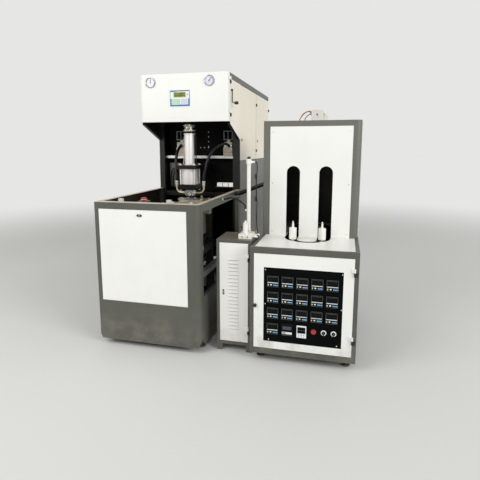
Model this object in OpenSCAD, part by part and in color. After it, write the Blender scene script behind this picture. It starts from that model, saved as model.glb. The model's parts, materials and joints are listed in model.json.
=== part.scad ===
// Semi-automatic blow moulding machine for bottles: the blow moulder with its head and clamp guard, the
// slim air cabinet beside it and the preform heater. Millimetres, +X right, +Y to the back, +Z up.
// The drawing starts at the moulder's front left corner on the floor; place() moves it to the part's frame.

/* [Blow moulder] */
// Width of the moulder
bm_w = 815; // [740:1:900]
// Depth of the moulder from the guard's front to the back panel
bm_d = 2589; // [2400:1:2800]
// Height of the moulder
bm_h = 2107; // [2040:1:2200]
// Height of the clamp guard
guard_h = 1095; // [1080:1:1110]
// Depth of the clamp guard, up to the cabinet
guard_d = 1151; // [1135:1:1200]
// Clear height under the guard and cabinet
foot_h = 45; // [35:1:60]
// Thickness of the folded sheets
sheet = 2; // [1.5:0.1:2.5]
// Bend radius of the guard's left front corner
guard_bend_left = 12; // [8:1:20]
// Bend radius of the guard's right front corner
guard_bend_right = 43; // [30:1:48]
// Width of the guard's top rim at the sides
rim_w = 40; // [30:1:50]
// Width of the guard's top rim at the front
rim_front = 70; // [50:1:90]
// Height of the guard's right top rail
top_rail_h = 60; // [50:1:70]
// Height of the guard's lower side panel above the floor
side_panel_top = 410; // [360:1:460]
// Height of the clamp bed and mid rail above the floor
bed_z = 600; // [590:1:606]

/* [Guard panel] */
// Left edge of the lift-off front panel
panel_x = 37; // [30:1:45]
// Width of the lift-off front panel
panel_w = 685; // [600:1:690]
// Lower edge of the lift-off front panel
panel_z = 353; // [300:1:400]
// Distance from the guard's top down to the lift-off front panel
panel_drop = 47; // [45:1:120]
// Gap round doors and panels
door_gap = 2; // [1.5:0.1:3]

/* [Head and cabinet] */
// How far the head stands in front of the cabinet
head_reach = 389; // [370:1:410]
// Height of the head's front door
head_h = 400; // [380:1:420]
// Bend radius of the head door's vertical edges
head_bend = 42; // [30:1:48]
// Depth of the head door's folded sides
head_fold = 44; // [43:1:60]
// Drop of the head's sloping lower edge to the cabinet
chamfer_drop = 148; // [120:1:180]
// Height of the line between the light and dark panels
colour_z = 1365; // [1355:1:1380]
// Depth of the front side doors
front_door_d = 713; // [650:1:760]
// Thickness of the side doors
door_t = 20; // [16:1:24]
// Height of the roof's side skirts
skirt_h = 50; // [40:1:60]
// Square tube of the cabinet frame
post = 50; // [45:1:55]
// Wall of the square tubes
tube_wall = 3; // [2:0.5:4]
// Depth of the working bay behind the cabinet's front
bay_d = 140; // [130:1:160]

/* [Blow station] */
// Distance from the cabinet's front to the nozzle's axis
nozzle_reach = 244; // [240:1:250]
// Side of the seal cylinder's lower square flange
flange_side = 164; // [160:1:176]
// Side of the seal cylinder's upper square flange
flange_top_side = 190; // [184:1:216]
// Thickness of the upper flange
flange_top_t = 33; // [28:1:38]
// Thickness of the lower flange
flange_low_t = 47; // [40:1:50]
// Height of the lower flange above the guard's top
flange_lift = 18; // [13:1:30]
// Outer diameter of the seal cylinder
seal_od = 150; // [140:1:156]
// Length of the seal cylinder
seal_l = 138; // [130:1:145]
// Wall of the seal cylinder
seal_wall = 7; // [6:0.5:9]
// Diameter of the tie rods
tie_rod_d = 14; // [10:1:16]
// Outer diameter of the stretch cylinder
stretch_od = 86; // [80:1:98]
// Length of the stretch cylinder
stretch_l = 281; // [270:1:290]
// Wall of the stretch cylinder
stretch_wall = 6.5; // [5:0.5:8]
// Diameter of the stretch rod
stretch_rod_d = 14; // [10:1:16]
// Diameter of the seal rod
seal_rod_d = 50; // [44:1:54]
// Running clearance on the radius
run_gap = 0.05; // [0.03:0.01:0.08]

/* [Clamp] */
// Width of the platens
platen_w = 330; // [310:1:350]
// Distance from the guard's top down to the platens' tops
platen_drop = 80; // [79:1:95]
// Thickness of the moving platen
platen_t = 50; // [40:1:56]
// Opening stroke of the clamp
clamp_stroke = 160; // [140:1:170]
// Width of the mould halves
mould_w = 220; // [180:1:224]
// Thickness of each mould half
mould_t = 100; // [80:1:104]
// Distance from the platens' tops down to the moulds' tops
mould_drop = 3; // [1:1:20]
// Largest radius of the bottle cavity
cavity_r = 36; // [25:1:45]
// Diameter of the tie bars
tie_bar_d = 36; // [30:1:40]
// Distance of the tie bars from the centre, sideways
tie_bar_x = 135; // [134:1:140]
// Outer diameter of the clamp cylinder
clamp_od = 160; // [150:1:180]
// Diameter of the clamp rod
clamp_rod_d = 40; // [30:1:45]

/* [Air cabinet] */
// Width of the air cabinet
sc_w = 256; // [230:1:270]
// Depth of the air cabinet
sc_d = 270; // [240:1:300]
// Height of the air cabinet
sc_h = 840; // [800:1:880]
// Height of its legs
sc_leg_h = 50; // [40:1:60]
// Gap between the air cabinet and the heater
sc_gap = 14; // [8:1:20]
// Setback of the air cabinet's front
sc_y = 123; // [110:1:140]
// Number of louvres in its door
louvres = 20; // [10:1:22]
// Diameter of the tall air column
column_d = 28; // [24:1:34]
// Height of the tall air column
column_h = 500; // [420:1:540]

/* [Preform heater] */
// Aisle between the moulder and the heater
aisle = 354; // [330:1:400]
// Width of the heater
ph_w = 720; // [690:1:760]
// Depth of the heater
ph_d = 1100; // [1060:1:1130]
// Height of the heater's table
table_z = 820; // [800:1:840]
// Clear height under the heater
ph_foot_h = 60; // [50:1:70]
// Setback of the heater's front
ph_y = 26; // [20:1:40]
// Height of the oven hood above the table
hood_h = 862; // [840:1:900]
// Depth of the open table in front of the hood
table_d = 439; // [430:1:460]
// Bend radius of the hood's front edges
hood_bend = 40; // [25:1:46]
// Width of the oven slots
slot_w = 98; // [90:1:104]
// Distance between the oven slots' middles
slot_pitch = 239.5; // [236:0.5:244]
// Height of the oven slots' tops above the table
slot_h = 530; // [480:1:560]
// Side of the square controllers
ctrl = 79; // [70:1:82]
// Distance between the controllers, sideways
ctrl_pitch_x = 99; // [96:1:102]
// Distance between the controllers, upright
ctrl_pitch_z = 112.5; // [104:0.5:116]

/* [Hidden] */
$fn = 64;

// Faces that two bodies share at rest stand this far apart
rest_gap = 0.3;
// Overlap that fuses pieces of one weldment
weld = 1;
hair = 0.01;

// Heights and places of the moulder
mid_x = bm_w / 2;
head_y = guard_d - head_reach;
head_z = bm_h - head_h;
nozzle_y = guard_d - nozzle_reach;
skin_top = bm_h - skirt_h;
split_y = guard_d + front_door_d;
base_tube = 60;
base_top = foot_h + base_tube;
frame_x1 = bm_w - door_t - rest_gap;
bay_y = guard_d + bay_d;
bay_floor_z = guard_h - 30;
panel_h = guard_h - panel_drop - panel_z;
rail = 40;

// Heights of the blow station
flange_z = guard_h + flange_lift;
flange_low_top = flange_z + flange_low_t;
flange_top_z = flange_low_top + seal_l;
stretch_z = flange_top_z + flange_top_t;
stretch_top = stretch_z + stretch_l;
cap_h = 93;
seal_bore = seal_od - 2 * seal_wall;
stretch_bore = stretch_od - 2 * stretch_wall;
seal_travel = 35;
seal_piston_t = 25;
seal_piston_z = flange_low_top + seal_travel + 15;
stretch_piston_t = 25;
block_w = 70;
block_h = 46;
block_z = flange_z - 8 - block_h;
elbow_z = block_z + 22;
elbow_bend = 42;
elbow_x = 130;
elbow_top = elbow_z + elbow_bend + 52;

// Places of the clamp
platen_top = guard_h - platen_drop;
mould_z = bed_z + 90;
mould_h = platen_top - mould_drop - mould_z;
rear_platen_y = nozzle_y + mould_t;
rear_platen_t = 50;
front_platen_y = 300;
fixed_platen_t = 40;
moving_y = nozzle_y - rest_gap - mould_t - clamp_stroke - platen_t;
clamp_z = bed_z + 210;
tie_bar_low = bed_z + 50;
tie_bar_high = platen_top - 45;
clamp_y = 60;

// Places of the heater
ph_x = bm_w + aisle;
ph_mid = ph_x + ph_w / 2 - 8.5;
hood_x0 = ph_x + 3;
hood_x1 = ph_x + ph_w - 6;
hood_y = ph_y + table_d;
hood_top = table_z + hood_h;
proud = 4;
ph_back = ph_y + ph_d;
rim = 27;
loop_y = hood_y - 75;
loop_r = slot_pitch / 2;
arc_y = hood_y - 48.5;
arc_r = (slot_pitch + slot_w) / 2;
chain_z = table_z - 34;

// Door of the heater and its panel
hd_x0 = ph_x + 27;
hd_x1 = ph_x + ph_w - 29;
hd_z0 = ph_foot_h + 44;
hd_z1 = table_z - 42;
cp_x0 = hd_x0 + 68;
cp_x1 = hd_x1 - 66;
cp_z0 = hd_z0 + 51;
cp_z1 = hd_z1 - 92;
panel_face = ph_y + sheet;
ctrl_x = (cp_x0 + cp_x1) / 2 - 2 * ctrl_pitch_x - 2;
ctrl_z = cp_z1 - 97;
dial_z = ctrl_z - 3 * ctrl_pitch_z + 5;
button_x = ctrl_x + 280;
dial_x1 = button_x + 67;
dial_x2 = dial_x1 + 65;

// Places of the air cabinet
sc_x = ph_x - sc_gap - sc_w;
sc_bar = 21;
column_x = sc_x + sc_w - 50;
column_y = sc_y + 138;
short_x = column_x - 13;
short_y = column_y - 47;
manifold_h = 32;

// The part's frame: the middle of its outline on the floor
whole_w = ph_x + ph_w;
module place() translate([-whole_w / 2, -bm_d / 2, 0]) children();

// A block between two corners
module slab(a, b) translate(a) cube([b.x - a.x, b.y - a.y, b.z - a.z]);

// Rods along the three axes, from a point
module rod_x(p, d, l) translate(p) rotate([0, 90, 0]) cylinder(d = d, h = l);
module rod_y(p, d, l) translate(p) rotate([-90, 0, 0]) cylinder(d = d, h = l);
module rod_z(p, d, l) translate(p) cylinder(d = d, h = l);

// A welded frame of square tubes, each given by its two corners
module tube_frame(bars) difference() {
    union() for (b = bars) slab(b[0], b[1]);
    for (b = bars) slab(b[0] + tube_wall * [1, 1, 1], b[1] - tube_wall * [1, 1, 1]);
}

// A rectangle whose two front corners are round
module front_round(w, d, rl, rr) intersection() {
    square([w, d]);
    union() {
        translate([rl, 0]) square([w - rl - rr, d]);
        translate([0, rl]) square([rl + hair, d - rl]);
        translate([w - rr - hair, rr]) square([rr + hair, d - rr]);
        translate([rl, rl]) circle(rl);
        translate([w - rr, rr]) circle(rr);
    }
}

// A folded tray door that opens to the back: outer corners a and b, open face on the side of axis
module tray_y(a, b, t) difference() {
    slab(a, b);
    slab([a.x + t, a.y + t, a.z + t], [b.x - t, b.y + weld, b.z - t]);
}
module tray_x(a, b, t) difference() {
    slab(a, b);
    slab([a.x - weld, a.y + t, a.z + t], [b.x - t, b.y - t, b.z - t]);
}

// Half hinges round an upright pin: the door's half sits above, the frame's half holds the pin.
// A leaf that lies on a door's front keeps its seat clear of the stile beside it.
hinge_r = 6;
hinge_l = 27;
pin_r = 3;
module hinge_upper(p, leaf_to, seat = 0) difference() {
    union() {
        rod_z([p.x, p.y, p.z + rest_gap], 2 * hinge_r, hinge_l);
        slab([min(p.x, leaf_to.x), min(p.y, leaf_to.y), p.z + rest_gap],
             [max(p.x, leaf_to.x), max(p.y, leaf_to.y), p.z + rest_gap + hinge_l]);
        if (seat > 0) slab([leaf_to.x, leaf_to.y - weld, p.z + rest_gap],
                           [p.x - seat, leaf_to.y + rest_gap + hair, p.z + rest_gap + hinge_l]);
    }
    rod_z([p.x, p.y, p.z], 2 * (pin_r + run_gap), hinge_l + 2);
}
module hinge_lower(p, leaf_to) {
    rod_z([p.x, p.y, p.z - hinge_l], 2 * hinge_r, hinge_l);
    rod_z([p.x, p.y, p.z - weld], 2 * pin_r, hinge_l + weld);
    slab([min(p.x, leaf_to.x), min(p.y, leaf_to.y), p.z - hinge_l],
         [max(p.x, leaf_to.x), max(p.y, leaf_to.y), p.z]);
}

// A smooth tube along points, as one polyhedron
function unit(v) = v / norm(v);
function along(v) = let (m = max(abs(v.x), abs(v.y), abs(v.z)))
    abs(v.x) == m ? [sign(v.x), 0, 0] : abs(v.y) == m ? [0, sign(v.y), 0] : [0, 0, sign(v.z)];
function dir_at(p, i) = let (d = unit(p[min(i + 1, len(p) - 1)] - p[max(i - 1, 0)]))
    i == 0 || i == len(p) - 1 ? along(d) : d;
function side_of(d) = unit(cross(d, abs(d.z) < 0.9 ? [0, 0, 1] : [0, 1, 0]));
function carry(d, s) = unit(s - (s * d) * d);
function sides(p, i = 0, s = undef) = i >= len(p) ? [] :
    let (d = dir_at(p, i), n = is_undef(s) ? side_of(d) : carry(d, s)) concat([n], sides(p, i + 1, n));
function curve(p, t) = let (
    n = len(p) - 1, i = min(floor(t), n - 1), u = t - i,
    a = p[max(i - 1, 0)], b = p[i], c = p[i + 1], d = p[min(i + 2, n)])
    0.5 * ((2 * b) + (c - a) * u + (2 * a - 5 * b + 4 * c - d) * u * u
        + (3 * b - a - 3 * c + d) * u * u * u);
function smooth(p, k) = [for (i = [0 : k * (len(p) - 1)]) curve(p, i / k)];
module cable(route, d, k = 3, n = 10) {
    p = smooth(route, k);
    s = sides(p);
    ring = [for (i = [0 : len(p) - 1], j = [0 : n - 1])
        let (t = dir_at(p, i), b = cross(t, s[i]), a = -360 * j / n)
        p[i] + d / 2 * (cos(a) * s[i] + sin(a) * b)];
    walls = [for (i = [0 : len(p) - 2], j = [0 : n - 1])
        let (k1 = (j + 1) % n) [i * n + j, i * n + k1, (i + 1) * n + k1, (i + 1) * n + j]];
    polyhedron(ring, concat([[for (j = [n - 1 : -1 : 0]) j]], walls,
        [[for (j = [0 : n - 1]) (len(p) - 1) * n + j]]), convexity = 6);
}

// Moulder: base, guard and cabinet

module base_frame() color("#3f3f3c") place() {
    bed_low = bed_z - base_tube;
    x0 = 10;
    x1 = frame_x1;
    bed_x = [mid_x - 170, mid_x + 110];
    tube_frame(concat(
        [for (x = [x0, x1 - base_tube]) [[x, 60, foot_h], [x + base_tube, bm_d - 9, base_top]]],
        [for (y = [60, guard_d - 30, split_y - 30, bm_d - 9 - base_tube])
            [[x0, y, foot_h], [x1, y + base_tube, base_top]]],
        [for (x = bed_x, y = [front_platen_y, rear_platen_y - 10])
            [[x, y, foot_h], [x + base_tube, y + base_tube, bed_z]]],
        [for (x = bed_x) [[x, 60, bed_low], [x + base_tube, guard_d - 2 * sheet, bed_z]]],
        [for (x = bed_x, y = [front_platen_y, rear_platen_y - 10])
            [[x0, y, foot_h], [x1, y + base_tube, base_top]]]));
    for (x = [x0 + base_tube / 2, x1 - base_tube / 2], y = [150, guard_d, bm_d - 130]) {
        rod_z([x, y, 0], 70, 12);
        rod_z([x, y, 12], 22, foot_h - 12 + weld);
    }
}

module guard_walls() {
    difference() {
        front_round(bm_w, guard_d, guard_bend_left, guard_bend_right);
        translate([sheet, sheet])
            front_round(bm_w - 2 * sheet, guard_d, guard_bend_left - sheet, guard_bend_right - sheet);
    }
}

wrap_y = guard_bend_right + 17;
module guard_cover() color("#64645d") place() {
    difference() {
        union() {
            translate([0, 0, foot_h]) linear_extrude(guard_h - foot_h) guard_walls();
            translate([0, 0, guard_h - sheet]) linear_extrude(sheet) difference() {
                front_round(bm_w, guard_d, guard_bend_left, guard_bend_right);
                translate([rim_w, rim_front]) square([bm_w - 2 * rim_w, guard_d]);
            }
            slab([panel_x - 2 * sheet, sheet - weld, panel_z - 2 * sheet],
                 [panel_x + panel_w + 2 * sheet, 14 + sheet, panel_z + panel_h + 2 * sheet]);
        }
        slab([panel_x, -weld, panel_z], [panel_x + panel_w, 14, panel_z + panel_h]);
        slab([panel_x + 14, -weld, panel_z + 14], [panel_x + panel_w - 14, 40, panel_z + panel_h - 14]);
        slab([bm_w - sheet - weld, wrap_y, foot_h - weld],
             [bm_w + weld, guard_d + weld, guard_h - top_rail_h]);
        for (s = [0, 1]) translate([s * bm_w, -weld, foot_h]) mirror([s, 0, 0]) rotate([-90, 0, 0])
            linear_extrude(wrap_y + 2 * weld) polygon([[-weld, weld], [22, weld], [-weld, -45]]);
    }
}

stop_x = 272;
stop_y = 260;
stop_rail_z = guard_h - 95;
stop_top = stop_rail_z + 80;
stop_stem = 22;
module guard_rails() color("#56564f") place() {
    tube_frame([
        [[bm_w - rail, wrap_y + 2, bed_z - rail - 5], [bm_w, guard_d - rest_gap, bed_z - 5]],
        [[sheet, wrap_y + 2, bed_z - rail - 5], [sheet + rail, guard_d - rest_gap, bed_z - 5]],
        [[bm_w - rail, guard_bend_right, base_top],
         [bm_w - sheet, guard_bend_right + rail, guard_h - sheet]],
        [[sheet, stop_y - rail / 2, stop_rail_z], [bm_w - sheet, stop_y + rail / 2, stop_rail_z + rail]],
        [[bm_w - rail, guard_d - rail, base_top], [bm_w - sheet, guard_d - rest_gap, guard_h - sheet]],
        [[sheet, guard_d - rail, base_top], [sheet + rail, guard_d - rest_gap, guard_h - sheet]]]);
    translate([bm_w - sheet, 0, 0]) rotate([90, 0, 90]) linear_extrude(sheet)
        polygon([[wrap_y, foot_h + 26], [wrap_y + 26, foot_h], [guard_d - rest_gap, foot_h],
                 [guard_d - rest_gap, side_panel_top], [wrap_y, side_panel_top]]);
    slab([bm_w - 30, wrap_y, side_panel_top - sheet], [bm_w, guard_d - rest_gap, side_panel_top]);
    difference() {
        slab([stop_x - 35, stop_y - 35, stop_rail_z + rail - tube_wall],
             [stop_x + 35, stop_y + 35, stop_top]);
        rod_z([stop_x, stop_y, stop_top - 26], stop_stem + 2 * run_gap, 27);
    }
}

module guard_panel() color("#f2f1ec") place() difference() {
    tray_y([panel_x + door_gap, -1, panel_z + door_gap],
        [panel_x + panel_w - door_gap, 14 - rest_gap, panel_z + panel_h - door_gap], sheet);
    rod_y([lock_x, -3, lock_z], 16 + 2 * run_gap, 12);
}

lock_x = 365;
lock_z = panel_z + panel_h - 41;
module oval(w, h, t) {
    linear_extrude(t) {
        translate([-(w - h) / 2, -h / 2]) square([w - h, h]);
        for (s = [-1, 1]) translate([s * (w - h) / 2, 0]) circle(d = h);
    }
}
module guard_lock() color("#30302c") place() {
    translate([lock_x, -1 - rest_gap, lock_z]) rotate([90, 0, 0]) oval(40, 17, 3);
    rod_y([lock_x, -1 - rest_gap - weld, lock_z], 16, 25 + weld);
    translate([lock_x, 20, lock_z]) rotate([-90, 0, 0]) translate([14, 0, 0]) oval(44, 16, 3);
}

bay_x0 = post + sheet;
bay_x1 = bm_w - post - door_t;
module cabinet_frame() color("#4b4b46") place() {
    y1 = bm_d - sheet;
    top = skin_top;
    mid0 = colour_z - post / 2;
    head_bar = 30;
    head_bars = [sheet, bm_w - sheet - head_bar];
    hb_y = head_y + head_fold + 8;
    lower_y = [guard_d, split_y - post / 2, y1 - post];
    tube_frame(concat(
        [for (x = [sheet, frame_x1 - post], y = lower_y) [[x, y, base_top], [x + post, y + post, top]]],
        [for (x = [sheet, frame_x1 - post], z = [mid0, top - post])
            [[x, guard_d, z], [x + post, y1, z + post]]],
        [for (x = [sheet, frame_x1 - post]) [[x, guard_d, base_top], [x + post, y1, base_top + post]]],
        [for (z = [base_top, mid0, top - post]) [[sheet, y1 - post, z], [frame_x1, y1, z + post]]],
        [[[sheet, bay_y, mid0], [frame_x1, bay_y + post, mid0 + post]]],
        [[[sheet, guard_d, top - post], [frame_x1, guard_d + post, top]]],
        [[[sheet, guard_d, bay_floor_z - sheet - rail], [frame_x1, guard_d + rail, bay_floor_z - sheet]]],
        [for (x = head_bars) [[x, hb_y, top - head_bar], [x + head_bar, guard_d + weld, top]]],
        [for (x = head_bars) [[x, hb_y, head_z + 6], [x + head_bar, hb_y + head_bar, top]]],
        [for (z = [head_z + 6, top - head_bar])
            [[sheet, hb_y, z], [bm_w - sheet, hb_y + head_bar, z + head_bar]]]));
    slab([frame_x1 - post, guard_d, base_top], [bm_w - sheet, guard_d + sheet, skin_top]);
}

// Side plate of the head, as an outline in depth and height
module head_side(x) {
    y0 = head_y + head_fold + 6;
    slope = chamfer_drop / head_reach;
    flange = 26;
    translate([x, 0, 0]) rotate([90, 0, 90]) linear_extrude(sheet)
        polygon([[y0, skin_top], [guard_d + sheet, skin_top], [guard_d + sheet, head_z - chamfer_drop],
                 [guard_d, head_z - chamfer_drop], [y0, head_z - slope * (y0 - head_y)]]);
    translate([x < mid_x ? x : x - flange + sheet, 0, 0]) rotate([90, 0, 90]) linear_extrude(flange)
        polygon([[y0, head_z - slope * (y0 - head_y)], [guard_d - rest_gap, head_z - chamfer_drop],
                 [guard_d - rest_gap, head_z - chamfer_drop + sheet],
                 [y0, head_z - slope * (y0 - head_y) + sheet]]);
}

module light_panels() color("#efece2") place() {
    for (x = [0, bm_w - sheet]) head_side(x);
    slab([0, guard_d + sheet, colour_z], [sheet, bm_d - sheet, skin_top]);
    slab([0, bm_d - sheet, colour_z], [bm_w, bm_d, skin_top]);
}

module dark_panels() color("#5f5f58") place() {
    slab([0, guard_d, foot_h], [sheet, bm_d - sheet, colour_z - rest_gap]);
    slab([0, bm_d - sheet, foot_h], [bm_w, bm_d, colour_z - rest_gap]);
    difference() {
        slab([0, head_y + head_fold + 6, skin_top + rest_gap], [bm_w, bm_d, bm_h]);
        slab([sheet, head_y, skin_top - weld], [bm_w - sheet, bm_d - sheet, bm_h - sheet]);
    }
}

module bay_liner() color("#1c1c1b") place() {
    x0 = bay_x0 + rest_gap;
    x1 = bay_x1 - rest_gap;
    top = skin_top - post - rest_gap;
    difference() {
        slab([x0, guard_d + rail, bay_floor_z - sheet], [x1, bay_y, top]);
        slab([x0 + sheet, guard_d - weld, bay_floor_z], [x1 - sheet, bay_y - sheet, top + weld]);
    }
    arm = flange_top_side / 2;
    for (x = [mid_x - arm, mid_x + arm - 15])
        slab([x, nozzle_y + arm, flange_top_z - 60], [x + 15, bay_y - sheet + hair, stretch_z]);
    slab([mid_x - arm + 15, nozzle_y + arm, flange_top_z + 12],
         [mid_x + arm - 15, bay_y - sheet + hair, stretch_z]);
    slab([bay_x0 + 20, bay_y - 42, bay_floor_z + 85], [bay_x0 + 120, bay_y - sheet, colour_z - post / 2]);
}

shelf_z = stretch_z + 54;
shelf_h = 25;
shelf_y = guard_d + 39;
module valve_shelf() color("#d8d8d4") place() {
    x0 = bay_x0 + sheet + rest_gap;
    x1 = bay_x1 - sheet - rest_gap;
    slab([x0, shelf_y, shelf_z], [x1, shelf_y + 4, shelf_z + shelf_h]);
    slab([x0, shelf_y, shelf_z + shelf_h - 4], [x1, shelf_y + 50, shelf_z + shelf_h]);
    for (x = [mid_x - 265, mid_x + 60])
        slab([x, shelf_y + 49, shelf_z + shelf_h - 30], [x + 30, bay_y - sheet - hair, shelf_z + shelf_h]);
}

valve_w = 92;
valve_x = [bay_x0 + 118.5, bay_x1 - 98.5];
valve_z = shelf_z + shelf_h;
valve_y = guard_d + 15;
module blow_valves() color("#a89b86") place() for (i = [0, 1]) {
    x = valve_x[i];
    side = i == 0 ? -1 : 1;
    slab([x, valve_y, valve_z], [x + valve_w, valve_y + 70, valve_z + 78]);
    slab([x + 6, valve_y + 5, valve_z + 77], [x + valve_w - 6, valve_y + 65, valve_z + 130]);
    rod_z([x + valve_w / 2, valve_y + 35, valve_z + 129], 30, 20);
    slab([x + 2, valve_y + 10, valve_z + 148], [x + valve_w - 2, valve_y + 60, valve_z + 234]);
    rod_y([x + hose_seat(side), valve_y - 16, valve_z + 92], 34, 17 + 5);
}
function hose_seat(side) = side < 0 ? valve_w - 28 : valve_w - 24;

hose_d = 26;
hose_top = elbow_top - 4;
route_left = [
    [mid_x - elbow_x, nozzle_y, hose_top + rest_gap],
    [mid_x - elbow_x - 1, nozzle_y + 2, hose_top + 60], [mid_x - 142, nozzle_y + 20, shelf_z - 85],
    [mid_x - 152, nozzle_y + 48, shelf_z + 5], [mid_x - 150, nozzle_y + 90, shelf_z + 75],
    [mid_x - 146, nozzle_y + 145, shelf_z + 115], [valve_x[0] + 77, nozzle_y + 195, shelf_z + 124],
    [valve_x[0] + hose_seat(-1), valve_y - 40, valve_z + 92],
    [valve_x[0] + hose_seat(-1), valve_y - 16 - rest_gap, valve_z + 92]];
route_right = [
    [mid_x + elbow_x, nozzle_y, hose_top + rest_gap],
    [mid_x + elbow_x + 2, nozzle_y + 2, hose_top + 60], [mid_x + 146, nozzle_y + 14, shelf_z - 75],
    [mid_x + 170, nozzle_y + 35, shelf_z + 15], [mid_x + 208, nozzle_y + 65, shelf_z + 83],
    [valve_x[1] + 11, nozzle_y + 100, shelf_z + 123], [valve_x[1] + 49, nozzle_y + 145, shelf_z + 137],
    [valve_x[1] + hose_seat(1) - 4, valve_y - 60, valve_z + 102],
    [valve_x[1] + hose_seat(1), valve_y - 36, valve_z + 92],
    [valve_x[1] + hose_seat(1), valve_y - 16 - rest_gap, valve_z + 92]];
module hose_left() color("#232323") place() cable(route_left, hose_d);
module hose_right() color("#232323") place() cable(route_right, hose_d);

// Blow station

module at_nozzle(z) translate([mid_x, nozzle_y, z]) children();

module stretch_barrel() color("#c9c9c6") place() at_nozzle(stretch_z) difference() {
    cylinder(d = stretch_od, h = stretch_l);
    translate([0, 0, -weld]) cylinder(d = stretch_bore, h = stretch_l + 2 * weld);
}

module stretch_cap() color("#8b8970") place() at_nozzle(stretch_top) difference() {
    union() {
        cylinder(d = stretch_od + 8, h = 14);
        translate([0, 0, 14]) cylinder(d = stretch_od + 14, h = cap_h - 24);
        translate([0, 0, cap_h - 10]) cylinder(d = stretch_od + 3, h = 10);
    }
    translate([0, 0, cap_h - 30]) cylinder(d = 20, h = 40);
}

module stretch_rod() color("#dcdcdc") place() at_nozzle(0) {
    translate([0, 0, block_z + 4]) cylinder(d = stretch_rod_d, h = stretch_top - 12 - block_z - 4);
    translate([0, 0, stretch_top - 2 - stretch_piston_t])
        cylinder(d = stretch_bore - 2 * run_gap, h = stretch_piston_t);
}

module square_flange(side, z, t, bore) difference() {
    translate([-side / 2, -side / 2, z]) cube([side, side, t]);
    translate([0, 0, z - weld]) cylinder(d = bore, h = t + 2 * weld);
    for (sx = [-1, 1], sy = [-1, 1]) translate([sx * rod_off, sy * rod_off, z - weld])
        cylinder(d = tie_rod_d + 2 * run_gap, h = t + 2 * weld);
}
rod_off = flange_side / 2 - 17;
module seal_flanges() color("#1f1f1f") place() at_nozzle(0) {
    square_flange(flange_side, flange_z, flange_low_t, seal_rod_d + 2 * run_gap);
    square_flange(flange_top_side, flange_top_z, flange_top_t, stretch_rod_d + 2 * run_gap);
}

module seal_barrel() color("#cfcfcc") place() at_nozzle(0) {
    difference() {
        translate([0, 0, flange_low_top]) cylinder(d = seal_od, h = seal_l);
        translate([0, 0, flange_low_top - weld]) cylinder(d = seal_bore, h = seal_l + 2 * weld);
    }
    for (sx = [-1, 1], sy = [-1, 1]) translate([sx * rod_off, sy * rod_off, 0]) {
        translate([0, 0, flange_z - 14]) cylinder(d = tie_rod_d, h = stretch_z - flange_z + 28);
        for (z = [flange_z - 11, stretch_z])
            translate([0, 0, z]) cylinder(d = tie_rod_d + 8, h = 11, $fn = 6);
    }
}

module blow_nozzle() color("#b9b9b6") place() at_nozzle(0) difference() {
    union() {
        translate([0, 0, seal_piston_z]) cylinder(d = seal_bore - 2 * run_gap, h = seal_piston_t);
        translate([0, 0, block_z + block_h - weld])
            cylinder(d = seal_rod_d, h = seal_piston_z - block_z - block_h + 2 * weld);
        translate([-block_w / 2, -block_w / 2, block_z]) cube([block_w, block_w, block_h]);
        translate([0, 0, block_z - 11]) cylinder(d = 32, h = 12);
        for (s = [-1, 1]) translate([s * (block_w / 2 - weld), 0, elbow_z]) rotate([0, s * 90, 0])
            cylinder(d = 26, h = 9, $fn = 6);
        translate([14, -block_w / 2 - 8, block_z + 8]) rotate([-90, 0, 0]) cylinder(d = 14, h = 9);
    }
    translate([0, 0, block_z - 12]) cylinder(d = stretch_rod_d + 1, h = seal_piston_z + seal_piston_t);
}

module nozzle_elbows() color("#c8a468") place() at_nozzle(0) for (s = [-1, 1]) mirror([s < 0 ? 1 : 0, 0, 0]) {
    x0 = block_w / 2 + 8 + rest_gap;
    rod_x([x0, 0, elbow_z], 16, elbow_x - elbow_bend - x0);
    translate([elbow_x - elbow_bend, 0, elbow_z + elbow_bend]) rotate([90, 0, 0])
        rotate([0, 0, -90]) rotate_extrude(angle = 90) translate([elbow_bend, 0]) circle(d = 16);
    rod_z([elbow_x, 0, elbow_z + elbow_bend], 16, 22);
    rod_z([elbow_x, 0, elbow_z + elbow_bend + 20], 24, 14);
    rod_z([elbow_x, 0, elbow_z + elbow_bend + 33], 28, elbow_top - 4 - elbow_z - elbow_bend - 33);
}

// Clamp

module tie_points() for (sx = [-1, 1], z = [tie_bar_low, tie_bar_high])
    translate([mid_x + sx * tie_bar_x, 0, z]) children();

module platen(y, t, lift = 0) difference() {
    slab([mid_x - platen_w / 2, y, bed_z + lift], [mid_x + platen_w / 2, y + t, platen_top + lift]);
    tie_points() rod_y([0, y - weld, 0], tie_bar_d + 2 * run_gap, t + 2 * weld);
}
module fixed_platens() color("#8f8b7e") place() {
    difference() {
        platen(front_platen_y, fixed_platen_t);
        rod_y([mid_x, front_platen_y - weld, clamp_z], clamp_rod_d + 2 * run_gap, fixed_platen_t + 2 * weld);
    }
    platen(rear_platen_y, rear_platen_t);
}
module moving_platen() color("#b5ae9c") place() {
    platen(moving_y, platen_t, rest_gap);
    for (s = [-1, 1]) translate([mid_x + s * (platen_w / 2 - weld), moving_y + platen_t / 2, bed_z + 147])
        rotate([0, s * 90, 0]) {
            cylinder(d = 24, h = 12);
            translate([0, 0, 11]) cylinder(d = 102, h = 24);
        }
}
module tie_bars() color("#d5d5d2") place() tie_points() {
    rod_y([0, front_platen_y - 30, 0], tie_bar_d, rear_platen_y + rear_platen_t + 60 - front_platen_y);
    for (y = [front_platen_y - 24, rear_platen_y + rear_platen_t]) translate([0, y, 0])
        rotate([-90, 0, 0]) cylinder(d = tie_bar_d + 20, h = 24, $fn = 6);
}
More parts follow.
